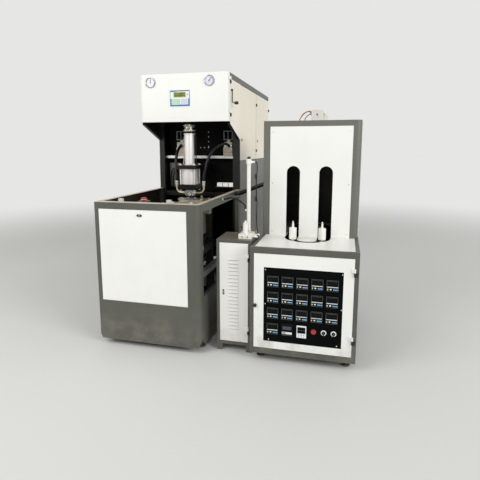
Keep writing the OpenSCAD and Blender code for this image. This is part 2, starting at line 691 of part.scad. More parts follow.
module clamp_cylinder() color("#9a9a96") place() difference() {
    rod_y([mid_x, clamp_y, clamp_z], clamp_od, front_platen_y - clamp_y);
    rod_y([mid_x, clamp_y + 12, clamp_z], clamp_od - 12, front_platen_y - clamp_y - 24);
    rod_y([mid_x, clamp_y + 20, clamp_z], clamp_rod_d + 2 * run_gap, front_platen_y - clamp_y);
}
module clamp_rod() color("#dcdcdc") place() {
    rod_y([mid_x, clamp_y + 20, clamp_z], clamp_rod_d, moving_y - clamp_y - 20);
    rod_y([mid_x, clamp_y + 20, clamp_z], clamp_od - 12 - 2 * run_gap, 25);
}

// The bottle cavity, from its foot up to the neck
module bottle() {
    r = cavity_r;
    rotate_extrude() polygon([
        [0, 60], [r - 8, 60], [r, 68], [r, mould_h - 112], [r - 6, mould_h - 86],
        [r - 14, mould_h - 66], [16, mould_h - 46], [14, mould_h - 38], [14, mould_h + 1],
        [0, mould_h + 1]]);
}
module mould_half(y) difference() {
    slab([mid_x - mould_w / 2, y, mould_z], [mid_x + mould_w / 2, y + mould_t, mould_z + mould_h]);
    children();
}
module mould_front() color("#aaa695") place() {
    y = moving_y + platen_t;
    mould_half(y) translate([mid_x, y + mould_t, mould_z]) bottle();
}
module mould_rear() color("#aaa695") place()
    mould_half(nozzle_y) translate([mid_x, nozzle_y, mould_z]) bottle();

module emergency_stop() color("#c8372c") place() {
    rod_z([stop_x, stop_y, stop_top - 15], stop_stem, 26);
    rod_z([stop_x, stop_y, stop_top + 10], 40, 14);
}

terminal_x = 170;
module switch_blocks() color("#e6e4dc") place() {
    for (x = [rim_w + 34, mid_x + 73.5])
        slab([x - 16, stop_y - 15, stop_rail_z + rail], [x + 16, stop_y + 15, guard_h - 4]);
    slab([bay_x1 - sheet - terminal_x - 9, bay_y - 62, bay_floor_z + 45],
         [bay_x1 - sheet - 9, bay_y - sheet, bay_floor_z + 81]);
}

// Doors of the moulder: each hangs on its rear edge

hinge_x = bm_w + hinge_r + 1;
upper_z0 = colour_z + door_gap;
upper_z1 = skin_top - door_gap;
lower_z0 = base_top - 45;
lower_z1 = colour_z - door_gap;
doors = [
    [guard_d + sheet + door_gap, split_y - 3, upper_z0, upper_z1],
    [split_y + 8, bm_d - sheet - 4, upper_z0, upper_z1],
    [guard_d + sheet + door_gap, split_y - 3, lower_z0, lower_z1],
    [split_y + 8, bm_d - sheet - 4, lower_z0, lower_z1]];
function hinge_heights(i) = i < 2 ? [colour_z + 103, bm_h - 153]
    : [lower_z0 + 140, colour_z - 441, colour_z - 193];
function hinge_y(i) = doors[i][1] + 3;
module side_leaf(i) {
    d = doors[i];
    tray_x([bm_w - door_t, d[0], d[2]], [bm_w, d[1], d[3]], sheet);
    for (z = hinge_heights(i))
        hinge_upper([hinge_x, hinge_y(i), z], [hinge_x - hinge_r - 2, hinge_y(i) - 26, 0]);
    rod_x([bm_w - door_t - 6, d[0] + 60, i < 2 ? colour_z + 194 : lower_z0 + 660], 18, door_t + 8);
}
module upper_door_front() color("#efece2") place() side_leaf(0);
module upper_door_rear() color("#efece2") place() side_leaf(1);
module lower_door_front() color("#5f5f58") place() side_leaf(2);
module lower_door_rear() color("#5f5f58") place() side_leaf(3);

// Hinge of the head's door, and of the air cabinet's and heater's doors
head_hinge_y = head_y + head_fold + 4;
head_hinge_z = [head_z + 69, head_z + 339];
sc_hinge_x = sc_x + sc_w - sc_bar + door_gap / 2;
sc_hinge_y = sc_y - hinge_r;
sc_hinge_z = [168, sc_h - 126];
ph_hinge_x = hd_x1 + door_gap;
ph_hinge_y = ph_y - hinge_r;
ph_hinge_z = [hd_z0 + 118, hd_z1 - 91];
module door_hinges() color("#262624") place() {
    for (i = [0 : 3], z = hinge_heights(i))
        hinge_lower([hinge_x, hinge_y(i), z], [frame_x1, hinge_y(i) - 1.5, 0]);
    for (z = head_hinge_z) hinge_lower([hinge_x, head_hinge_y, z], [bm_w, head_hinge_y + 26, 0]);
    for (z = sc_hinge_z) hinge_lower([sc_hinge_x, sc_hinge_y, z], [sc_hinge_x + 14, sc_y, 0]);
    for (z = ph_hinge_z) hinge_lower([ph_hinge_x, ph_hinge_y, z], [ph_hinge_x + 18, ph_y, 0]);
}

// Head door with its gauges and display

gauge_x = [116, 649];
gauge_z = bm_h - 66;
gauge_d = 90;
module head_door() color("#f2f1ec") place() {
    difference() {
        translate([0, head_y, head_z]) linear_extrude(head_h)
            front_round(bm_w, head_fold, head_bend, head_bend);
        translate([sheet, head_y + sheet, head_z + sheet]) linear_extrude(head_h - 2 * sheet)
            front_round(bm_w - 2 * sheet, head_fold, head_bend - sheet, head_bend - sheet);
        for (x = gauge_x) rod_y([x, head_y - weld, gauge_z], gauge_d - 8, 10);
        slab([hmi_x + 8, head_y - weld, hmi_z + 8], [hmi_x + hmi_w - 8, head_y + 10, hmi_z + hmi_h - 8]);
    }
    for (z = head_hinge_z) hinge_upper([hinge_x, head_hinge_y, z], [bm_w - hair, head_hinge_y - 24, 0]);
}

module gauges() color("#cfd0d4") place() for (x = gauge_x) {
    difference() {
        rod_y([x, head_y - 9, gauge_z], gauge_d, 9);
        rod_y([x, head_y - 10, gauge_z], gauge_d - 12, 7);
    }
    rod_y([x, head_y - weld, gauge_z], gauge_d - 8.4, 30);
    rod_y([x, head_y - 4, gauge_z], 5, 3);
    rod_y([x, head_y + 28, gauge_z], 20, 20);
}
module needle(x, tilt) translate([x, head_y - 4 - rest_gap, gauge_z]) rotate([90, 0, 0]) {
    cylinder(d = 9, h = 2);
    rotate([0, 0, tilt]) translate([-1.2, -10, 0]) cube([2.4, 42, 1.6]);
}
module needle_left() color("#27272b") place() needle(gauge_x[0], 0);
module needle_right() color("#27272b") place() needle(gauge_x[1], -40);

hmi_x = 295;
hmi_z = bm_h - 270;
hmi_w = 178;
hmi_h = 132;
module operator_display() color("#5f8fc4") place() {
    slab([hmi_x, head_y - 4, hmi_z], [hmi_x + hmi_w, head_y, hmi_z + hmi_h]);
    slab([hmi_x + 9, head_y - weld, hmi_z + 9], [hmi_x + hmi_w - 9, head_y + 38, hmi_z + hmi_h - 9]);
}

lever_y = head_y + 90;
lever_z = bm_h - 139;
lever_off = 9;
lever_drop = 92;
lever_bend = 14;
lever_reach = 30;
module side_lever() color("#2c2c2a") place() translate([bm_w + rest_gap, lever_y, lever_z]) {
    rod_x([0, 0, 0], 20, lever_off + 4);
    rod_z([lever_off, 0, -lever_drop], 8, lever_drop);
    translate([lever_off + lever_bend, 0, -lever_drop]) rotate([90, 0, 0]) rotate([0, 0, 180])
        rotate_extrude(angle = 90) translate([lever_bend, 0]) circle(d = 8);
    rod_x([lever_off + lever_bend, 0, -lever_drop - lever_bend], 8,
          lever_reach - lever_off - lever_bend + weld);
    rod_x([lever_reach, 0, -lever_drop - lever_bend], 26, 30);
}

// Air cabinet

module sc_legs() for (x = [sc_x, sc_x + sc_w - 37], y = [sc_y, sc_y + sc_d - 37])
    slab([x, y, 0], [x + 37, y + 37, sc_leg_h + weld]);
module side_cabinet() color("#4f504a") place() {
    difference() {
        union() {
            slab([sc_x, sc_y, sc_leg_h], [sc_x + sc_w, sc_y + sc_d, sc_h]);
            sc_legs();
        }
        slab([sc_x + sheet, sc_y + 22, sc_leg_h + sheet],
             [sc_x + sc_w - sheet, sc_y + sc_d - sheet, sc_h - sheet]);
        slab([sc_x + sc_bar, sc_y - weld, sc_leg_h + 24], [sc_x + sc_w - sc_bar, sc_y + 30, sc_h - 22]);
        for (x = [sc_x, sc_x + sc_w - 37], y = [sc_y, sc_y + sc_d - 37]) {
            dx = x == sc_x ? sheet : -sheet;
            dy = y == sc_y ? sheet : -sheet;
            slab([x + dx, y + dy, -weld], [x + 37 + dx, y + 37 + dy, sc_leg_h]);
        }
    }
    for (z = [150, sc_h - 120]) rod_x([sc_x + sc_w, sc_y + 160, z], 24, sc_gap);
}

sc_door_x0 = sc_x + sc_bar + door_gap;
sc_door_x1 = sc_x + sc_w - sc_bar - door_gap;
sc_door_z0 = sc_leg_h + 26;
sc_door_z1 = sc_h - 24;
sc_lock_x = sc_door_x0 + 29;
sc_lock_z = sc_leg_h + 401;
louvre_w = 74;
louvre_x = sc_door_x0 + 65;
louvre_z = sc_h - 135;
louvre_pitch = 27.3;
module louvre(x, z) {
    translate([x, sc_y, z]) rotate([90, 0, 90]) linear_extrude(louvre_w)
        polygon([[0, 0], [-6, -11], [-5, -13], [2, -1]]);
}
module side_door() color("#ecebe4") place() {
    difference() {
        tray_y([sc_door_x0, sc_y, sc_door_z0], [sc_door_x1, sc_y + 15, sc_door_z1], sheet);
        for (i = [0 : louvres - 1])
            slab([louvre_x + 1, sc_y - weld, louvre_z - i * louvre_pitch - 11],
                 [louvre_x + louvre_w - 1, sc_y + 5, louvre_z - i * louvre_pitch - 3]);
    }
    for (i = [0 : louvres - 1]) louvre(louvre_x, louvre_z - i * louvre_pitch);
    for (z = sc_hinge_z) hinge_upper([sc_hinge_x, sc_hinge_y, z], [sc_hinge_x - 18, sc_y - rest_gap, 0], 5);
    translate([sc_lock_x, sc_y + hair, sc_lock_z]) rotate([90, 90, 0]) oval(44, 16, 4);
}

module manifold_block() color("#e4e1d6") place() {
    x0 = column_x - 55;
    x1 = column_x + 40;
    difference() {
        slab([x0, column_y - 92, sc_h], [x1, column_y + 38, sc_h + manifold_h]);
        for (x = [x0 + 26, x0 + 66]) rod_y([x, column_y - 93, sc_h + 15], 11, 30);
        rod_z([column_x, column_y, sc_h + 20], column_d + 2 * run_gap, 30);
        rod_z([short_x, short_y, sc_h + 20], 36 + 2 * run_gap, 30);
    }
    for (y = [column_y - 70, column_y - 35, column_y]) {
        rod_x([x1 - weld, y, sc_h + 16], 15, 9);
        rod_x([x1 + 7, y, sc_h + 16], 11, 14);
    }
}

module air_columns() color("#eeece6") place() {
    z0 = sc_h + 20 + hair;
    difference() {
        rod_z([column_x, column_y, z0], column_d, column_h + 10);
        rod_z([column_x, column_y, z0 + 6], column_d - 6, column_h + 10);
    }
    difference() {
        rod_z([column_x, column_y, z0 + column_h + 10 + hair], column_d + 8, 36);
        rod_z([column_x, column_y, z0 + column_h + 9], column_d - 6, 20);
    }
    rod_x([column_x + column_d / 2, column_y, z0 + column_h + 24], 14, 30);
    rod_z([short_x, short_y, z0], 36, 80);
}

// Lines between the three cabinets, held at both ends
bundle_d = 36;
route_bundle = [
    [bm_w + rest_gap, 985, guard_h - 20], [bm_w + 40, 985, guard_h - 18], [bm_w + 100, 972, guard_h + 6],
    [bm_w + 170, 955, guard_h + 34], [bm_w + 250, 942, guard_h + 66], [bm_w + 310, 938, guard_h + 92],
    [hood_x0 - 18, 938, guard_h + 103], [hood_x0 - proud - rest_gap, 938, guard_h + 104]];
route_air = [
    [bm_w + rest_gap, 560, guard_h - 24], [bm_w + 30, 560, guard_h - 20], [bm_w + 80, 530, guard_h - 5],
    [bm_w + 140, 460, guard_h - 4], [bm_w + 200, 380, guard_h - 14], [bm_w + 250, 310, guard_h - 32],
    [column_x - 30, column_y + 12, guard_h - 52],
    [column_x - column_d / 2 - rest_gap, column_y, guard_h - 60]];
drop_x = column_x + column_d / 2;
route_drop = [
    [drop_x + 30 + rest_gap, column_y, sc_h + column_h + 44], [drop_x + 42, column_y, sc_h + column_h + 40],
    [drop_x + 44, column_y + 2, sc_h + column_h - 10], [drop_x + 38, column_y + 4, sc_h + 380],
    [drop_x + 44, column_y + 4, sc_h + 250], [drop_x + 42, column_y + 4, sc_h + 130],
    [drop_x + 48, column_y + 3, sc_h + 50], [drop_x + 52, column_y, sc_h + 22],
    [column_x + 61 + rest_gap, column_y, sc_h + 16]];
motor_y = hood_y + 235;
motor_x = ph_mid - 18;
route_motor_a = [
    [motor_x - rest_gap, motor_y + 40, hood_top + 82], [motor_x - 22, motor_y + 40, hood_top + 88],
    [motor_x - 52, motor_y + 38, hood_top + 76], [motor_x - 82, motor_y + 36, hood_top + 44],
    [motor_x - 96, motor_y + 35, hood_top + 14], [motor_x - 98, motor_y + 35, hood_top + rest_gap]];
route_motor_b = [
    [motor_x - rest_gap, motor_y + 56, hood_top + 62], [motor_x - 16, motor_y + 56, hood_top + 66],
    [motor_x - 34, motor_y + 55, hood_top + 54], [motor_x - 52, motor_y + 54, hood_top + 30],
    [motor_x - 58, motor_y + 54, hood_top + rest_gap]];
module link_lines() color("#1f1f1f") place() {
    cable(route_bundle, bundle_d, 3, 12);
    cable(route_air, 12, 3, 8);
    cable(route_drop, 7, 2, 8);
    cable(route_motor_a, 8, 3, 8);
    cable(route_motor_b, 7, 3, 8);
}

// Preform heater

module heater_base() color("#5c5c55") place() {
    x0 = ph_x;
    x1 = ph_x + ph_w;
    difference() {
        slab([x0, ph_y, ph_foot_h], [x1, ph_back, table_z]);
        slab([x0 + sheet, ph_y + 24, ph_foot_h + sheet], [x1 - sheet, ph_back - sheet, table_z - sheet]);
        slab([x0 + rim, ph_y + rim, table_z - 10], [x1 - rim, ph_back - rim, table_z + weld]);
        slab([hd_x0 - door_gap, ph_y - weld, hd_z0 - door_gap],
             [hd_x1 + door_gap, ph_y + 30, hd_z1 + door_gap]);
    }
    ledge = 14;
    difference() {
        slab([x0 + rim - 10, ph_y + rim - 3, table_z - 8], [x1 - rim + 10, ph_back - rim + 10, table_z - 5]);
        slab([x0 + rim + ledge, ph_y + rim + ledge, table_z - 9],
             [x1 - rim - ledge, ph_back - rim - ledge, table_z]);
    }
    for (x = [x0 + 60, x1 - 60], y = [ph_y + 90, ph_back - 60]) {
        rod_z([x, y, 0], 56, 12);
        rod_z([x, y, 11], 18, ph_foot_h - 11 + weld);
    }
}

knob_x = hd_x0 + 10;
knob_z = hd_z0 + 306;
module heater_door() color("#f2f1ec") place() {
    difference() {
        tray_y([hd_x0, ph_y, hd_z0], [hd_x1, ph_y + 18, hd_z1], sheet);
        slab([cp_x0 + 1, ph_y - weld, cp_z0 + 1], [cp_x1 - 1, ph_y + 5, cp_z1 - 1]);
        rod_y([knob_x, ph_y - weld, knob_z], 10 + 2 * run_gap, 10);
    }
    for (z = ph_hinge_z) hinge_upper([ph_hinge_x, ph_hinge_y, z], [ph_hinge_x - 20, ph_y - rest_gap, 0], 5);
}

module door_knob() color("#151515") place() {
    rod_y([knob_x, ph_y - rest_gap - 14, knob_z], 24, 14);
    rod_y([knob_x, ph_y - rest_gap - weld, knob_z], 10, 22);
    translate([knob_x, ph_y + 18, knob_z]) rotate([-90, 0, 0]) translate([10, 0, 0]) oval(30, 12, 3);
}

// Cut-outs and places of the instruments
ctrl_cells = [for (r = [0 : 3], c = [0 : 4])
    if (r < 3 || c < 1) [ctrl_x + c * ctrl_pitch_x, ctrl_z - r * ctrl_pitch_z]];
counter_at = [ctrl_x + ctrl_pitch_x + 2, ctrl_z - 3 * ctrl_pitch_z + 1];
breaker_at = [ctrl_x + 2 * ctrl_pitch_x + 1, ctrl_z - 3 * ctrl_pitch_z - 3];
body_s = ctrl - 11;
module control_panel() color("#131313") place() difference() {
    slab([cp_x0 - 8, panel_face, cp_z0 - 8], [cp_x1 + 8, panel_face + 3, cp_z1 + 8]);
    h = body_s / 2 + 0.5;
    for (p = concat(ctrl_cells, [counter_at]))
        slab([p.x - h, ph_y, p.y - h], [p.x + h, ph_y + 20, p.y + h]);
    slab([breaker_at.x - 30, ph_y, breaker_at.y - 38], [breaker_at.x + 30, ph_y + 20, breaker_at.y + 38]);
    for (x = [button_x, dial_x1, dial_x2]) rod_y([x, ph_y, dial_z], 12 + 2 * run_gap, 20);
}
module instrument(p, w, h, body_w, body_h) {
    slab([p.x - w / 2, panel_face - 7, p.y - h / 2], [p.x + w / 2, panel_face, p.y + h / 2]);
    slab([p.x - body_w / 2, panel_face - weld, p.y - body_h / 2],
         [p.x + body_w / 2, panel_face + 60, p.y + body_h / 2]);
}
module controllers() color("#26292b") place() {
    for (p = ctrl_cells) instrument(p, ctrl, ctrl, body_s, body_s);
    instrument(counter_at, ctrl - 2, ctrl + 6, body_s, body_s);
    instrument(breaker_at, 66, 87, 58, 74);
}

module selector(x) {
    rod_y([x, panel_face - rest_gap - 12, dial_z], 22, 12);
    slab([x - 3.5, panel_face - rest_gap - 20, dial_z - 11],
         [x + 3.5, panel_face - rest_gap - 11, dial_z + 11]);
    rod_y([x, panel_face - rest_gap - weld, dial_z], 12, 16);
}
module selector_left() color("#1b1b1b") place() selector(dial_x1);
module selector_right() color("#1b1b1b") place() selector(dial_x2);
module push_button() color("#d5352b") place() {
    rod_y([button_x, panel_face - 16, dial_z], 26, 9);
    rod_y([button_x, panel_face - 8, dial_z], 12, 26);
}

// The loop that the mandrels travel: two straight runs and two round ends
loop_back = ph_back - 60 - arc_r;
module loop_hole() {
    translate([ph_mid, arc_y]) circle(arc_r);
    translate([ph_mid, loop_back]) circle(arc_r);
    translate([ph_mid - arc_r, arc_y]) square([2 * arc_r, loop_back - arc_y]);
}
island_w = slot_pitch - slot_w;
module island() {
    translate([ph_mid - island_w / 2, arc_y - 82]) square([island_w, loop_back - arc_y + 130]);
    intersection() {
        translate([ph_mid, arc_y - 44.5]) circle(80);
        translate([ph_mid - island_w / 2, arc_y - 200]) square([island_w, 200]);
    }
}
// The table's plate is cut under the hood, where the slots are straight
table_cuts = [ph_y + rim + 0.5, hood_y + 1, loop_back, ph_back - rim - 0.5];
module heater_table() color("#f2f1ec") place() {
    z0 = table_z - 5;
    for (i = [0 : 2]) translate([0, 0, z0]) linear_extrude(5) difference() {
        translate([ph_x + rim + 0.5, table_cuts[i] + hair])
            square([ph_w - 2 * rim - 1, table_cuts[i + 1] - table_cuts[i] - hair]);
        loop_hole();
    }
    translate([0, 0, z0]) linear_extrude(5) island();
    for (y = [loop_y + 20, loop_back]) {
        rod_z([ph_mid, y, ph_foot_h + sheet], 40, z0 - ph_foot_h - sheet + weld);
        rod_z([ph_mid, y, chain_z - 6], 2 * (loop_r - 15), 8);
    }
    translate([0, 0, chain_z]) linear_extrude(10) difference() {
        chain_outline(loop_r + 9);
        chain_outline(loop_r - 20);
    }
}
module chain_outline(r) {
    for (y = [loop_y, loop_back]) translate([ph_mid, y]) circle(r);
    translate([ph_mid - r, loop_y]) square([2 * r, loop_back - loop_y]);
}

mandrel_d = 53;
mandrel_h = 84;
mandrel_at = [[ph_mid - 98.5, loop_y - 68.5], [ph_mid + 110, loop_y - 48]];
module mandrel(p) translate([p.x, p.y, chain_z + 10 + rest_gap]) {
    cylinder(d = 15, h = 40);
    translate([0, 0, table_z + 6 - chain_z - 10]) {
        cylinder(d = mandrel_d, h = mandrel_h);
        translate([0, 0, mandrel_h - weld]) cylinder(d = 20, h = 8);
        translate([0, 0, mandrel_h + 6]) cylinder(d = 14, h = 26);
    }
}
module mandrel_left() color("#eeece6") place() mandrel(mandrel_at[0]);
module mandrel_right() color("#eeece6") place() mandrel(mandrel_at[1]);

hood_margin_l = 51;
hood_margin_r = 60;
hood_margin_t = 42;
hood_lap = 14;
module hood_frame() color("#5f5f58") place() difference() {
    w = hood_x1 - hood_x0;
    d = ph_back - hood_y;
    translate([hood_x0, hood_y, table_z]) linear_extrude(hood_h) front_round(w, d, 6, hood_bend);
    translate([hood_x0 + sheet, hood_y + sheet, table_z - weld]) linear_extrude(hood_h + weld - sheet)
        front_round(w - 2 * sheet, d - 2 * sheet, 6 - sheet, hood_bend - sheet);
    slab([hood_x0 + hood_margin_l + hood_lap, hood_y - weld, table_z - weld],
         [hood_x1 - hood_margin_r - hood_lap, hood_y + 10, hood_top - hood_margin_t - hood_lap]);
    for (x = [hood_x0 - weld, hood_x1 - 3])
        slab([x, hood_y + 60, table_z + 40], [x + 4, ph_back - 40, hood_top - 40]);
    slab([hood_x0 + 50, ph_back - 3, table_z + 40], [hood_x1 - 50, ph_back + weld, hood_top - 40]);
}

module slot_shape() {
    r = slot_w / 2;
    square([slot_w, slot_h - r]);
    translate([r, slot_h - r]) circle(r);
}
module hood_panels() color("#f2f1ec") place() {
    difference() {
        slab([hood_x0 + hood_margin_l, hood_y - sheet, table_z + rest_gap],
             [hood_x1 - hood_margin_r, hood_y, hood_top - hood_margin_t]);
        for (s = [-1, 1]) translate([ph_mid + s * slot_pitch / 2 - slot_w / 2, hood_y + weld, table_z])
            rotate([90, 0, 0]) linear_extrude(sheet + 2 * weld) slot_shape();
    }
    for (x = [hood_x0 - proud, hood_x1])
        slab([x, hood_y + 42, table_z + 12], [x + proud, ph_back - 10, hood_top - 8]);
    slab([hood_x0 + 20, ph_back, table_z + 12], [hood_x1 - 20, ph_back + proud / 2, hood_top - 12]);
}

module lamp_bank() color("#d9d6cc") place() {
    y0 = hood_y + 60;
    y1 = ph_back - 120;
    for (y = [y0, y1]) slab([ph_mid - 36, y, table_z], [ph_mid + 36, y + 12, table_z + slot_h - 60]);
    for (s = [-1, 1], i = [0 : 6])
        rod_y([ph_mid + s * 28, y0 + 12, table_z + 40 + i * 62], 12, y1 - y0 - 12);
}

module drive_box() color("#e9e7df") place() {
    difference() {
        slab([motor_x, motor_y, hood_top], [motor_x + 90, motor_y + 96, hood_top + 94]);
        rod_y([motor_x + 52, motor_y - weld, hood_top + 40], 10, 6);
    }
    slab([motor_x + 90 + hair, motor_y + 20, hood_top], [motor_x + 126, motor_y + 70, hood_top + 54]);
}

base_frame();
guard_cover();
guard_rails();
cabinet_frame();
light_panels();
dark_panels();
bay_liner();
valve_shelf();
blow_valves();
hose_left();
hose_right();
stretch_barrel();
stretch_cap();
stretch_rod();
seal_flanges();
seal_barrel();
blow_nozzle();
nozzle_elbows();
fixed_platens();
moving_platen();
tie_bars();
clamp_cylinder();
clamp_rod();
mould_front();
mould_rear();
emergency_stop();
switch_blocks();
door_hinges();
upper_door_front();
upper_door_rear();
lower_door_front();
lower_door_rear();
head_door();
gauges();
needle_left();
needle_right();
operator_display();
side_lever();
guard_panel();
guard_lock();
side_cabinet();
side_door();
manifold_block();
air_columns();
link_lines();
heater_base();
heater_door();
control_panel();
controllers();
selector_left();
selector_right();
push_button();
door_knob();
heater_table();
hood_frame();
hood_panels();
mandrel_left();
mandrel_right();
lamp_bank();
drive_box();
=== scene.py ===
"""Bottle blow moulding machine: finishes, fittings, floor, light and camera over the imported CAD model."""
import bpy, bmesh, json, math
from mathutils import Matrix, Vector


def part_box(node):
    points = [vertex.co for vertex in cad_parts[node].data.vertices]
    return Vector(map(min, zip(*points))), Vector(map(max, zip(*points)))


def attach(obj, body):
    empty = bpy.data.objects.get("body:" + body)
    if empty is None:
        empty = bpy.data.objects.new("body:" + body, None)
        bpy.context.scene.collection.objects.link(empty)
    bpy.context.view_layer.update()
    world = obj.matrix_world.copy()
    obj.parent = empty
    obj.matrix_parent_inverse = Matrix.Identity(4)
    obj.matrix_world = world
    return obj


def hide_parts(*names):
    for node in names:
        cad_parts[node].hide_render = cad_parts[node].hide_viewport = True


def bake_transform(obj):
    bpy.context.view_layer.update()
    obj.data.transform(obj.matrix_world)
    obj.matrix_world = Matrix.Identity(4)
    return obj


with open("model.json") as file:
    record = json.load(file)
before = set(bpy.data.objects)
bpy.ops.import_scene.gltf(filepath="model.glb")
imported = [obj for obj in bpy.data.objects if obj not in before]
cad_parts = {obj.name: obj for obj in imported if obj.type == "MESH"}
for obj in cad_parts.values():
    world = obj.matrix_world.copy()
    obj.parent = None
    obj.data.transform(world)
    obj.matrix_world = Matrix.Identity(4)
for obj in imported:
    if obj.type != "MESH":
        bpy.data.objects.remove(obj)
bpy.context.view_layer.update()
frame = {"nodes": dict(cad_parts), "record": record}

MM = 0.001
corner_lo, corner_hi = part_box("dark_panels")
CORNER = Vector((corner_lo[0], -corner_hi[1], 0.0))
BODY_OF = {n: b for b, nodes in frame["record"]["behaviour"]["bodies"].items() for n in nodes}
SLOT_OF = {s["node"]: s["material_slot"] for s in frame["record"]["subparts"]}


def spot(x, y, z):
    """Millimetres from the moulder's front left floor corner, as a point of the part's frame."""
    return Vector((x * MM, y * MM, z * MM)) + CORNER


def node_box(name):
    """A CAD node's two corners in millimetres from the moulder's corner."""
    lo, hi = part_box(name)
    return (Vector(lo) - CORNER) / MM, (Vector(hi) - CORNER) / MM


def centre(name):
    """The middle of a CAD node's box, in the same millimetres."""
    return tuple((a + b) / 2 for a, b in zip(*node_box(name)))


def run(at, steps):
    """Points given by their steps off one point."""
    return [tuple(a + step for a, step in zip(at, row)) for row in steps]


# Shades and node graphs

def tint(code):
    """A six-digit shade as linear red, green, blue and alpha."""
    parts = [int(code[i:i + 2], 16) / 255 for i in (1, 3, 5)]
    return tuple(c / 12.92 if c <= 0.04045 else ((c + 0.055) / 1.055) ** 2.4 for c in parts) + (1.0,)


class Sock:
    """One output of a node, so that masks are written as plain sums."""

    def __init__(self, graph, out):
        self.graph, self.out = graph, out

    def part(self, name):
        return Sock(self.graph, self.graph.node("ShaderNodeSeparateXYZ", {}, {0: self}).out.node.outputs[name])

    def sum(self, other, how, turned=False):
        a, b = (other, self) if turned else (self, other)
        return self.graph.node("ShaderNodeMath", {"operation": how}, {0: a, 1: b})

    def __add__(self, other): return self.sum(other, "ADD")
    def __radd__(self, other): return self.sum(other, "ADD", True)
    def __sub__(self, other): return self.sum(other, "SUBTRACT")
    def __rsub__(self, other): return self.sum(other, "SUBTRACT", True)
    def __mul__(self, other): return self.sum(other, "MULTIPLY")
    def __rmul__(self, other): return self.sum(other, "MULTIPLY", True)
    def __pow__(self, other): return self.sum(other, "POWER")
    def __gt__(self, other): return self.sum(other, "GREATER_THAN")
    def most(self, other): return self.sum(other, "MAXIMUM")

    def rise(self, lo, hi):
        """0 below lo, 1 above hi, and a soft step between them."""
        return self.graph.node("ShaderNodeMapRange", {"interpolation_type": "SMOOTHSTEP"},
                               {"Value": self, "From Min": lo, "From Max": hi})


class Graph:
    """A node tree that grows through one method."""

    def __init__(self, tree):
        self.tree = tree

    def node(self, kind, settings=None, sockets=None, out=0):
        made = self.tree.nodes.new(kind)
        for key, value in (settings or {}).items():
            if key == "stops":
                ramp = made.color_ramp
                while len(ramp.elements) < len(value):
                    ramp.elements.new(0.5)
                for element, (at, shade) in zip(ramp.elements, value):
                    element.position, element.color = at, shade
            else:
                setattr(made, key, value)
        for key, value in (sockets or {}).items():
            if isinstance(value, (Sock, list)):
                for one in value if isinstance(value, list) else [value]:
                    self.tree.links.new(one.out, made.inputs[key])
            else:
                made.inputs[key].default_value = value
        return Sock(self, made.outputs[out])


class Finish(Graph):
    """A material: its shader's own numbers, and the patterns that feed it."""

    def __init__(self, name, **numbers):
        self.mat = bpy.data.materials.new(name)
        self.mat.use_nodes = True
        super().__init__(self.mat.node_tree)
        self.shader = self.tree.nodes["Principled BSDF"]
        for key, value in numbers.items():
            self.shader.inputs[key.replace("_", " ")].default_value = value
        self.at = self.node("ShaderNodeTexCoord", {}, {}, "Object")

    def noise(self, scale, detail=3.0, stretch=None, rough=0.5):
        where = self.at
        if stretch:
            where = self.node("ShaderNodeMapping", {}, {"Vector": self.at, "Scale": stretch}, "Vector")
        return self.node("ShaderNodeTexNoise", {}, {"Vector": where, "Scale": scale, "Detail": detail,
                                                    "Roughness": rough})

    def mix(self, share, a, b):
        return self.node("ShaderNodeMix", {"data_type": "RGBA"}, {0: share, 6: a, 7: b}, 2)

    def edges(self):
        """1 on the small rounds that dressing gives a solid's edges."""
        return self.node("ShaderNodeAttribute", {"attribute_name": "edge"}, {}, "Fac")

    def inward(self):
        """1 on the faces that dressing finds to look into a hollow body."""
        return self.node("ShaderNodeAttribute", {"attribute_name": "inward"}, {}, "Fac")

    def bump(self, height, strength, depth):
        return self.node("ShaderNodeBump", {}, {"Height": height, "Strength": strength, "Distance": depth})

    def feed(self, **links):
        for key, value in links.items():
            self.tree.links.new(value.out, self.shader.inputs[key.replace("_", " ")])
        return self.mat


# Finishes

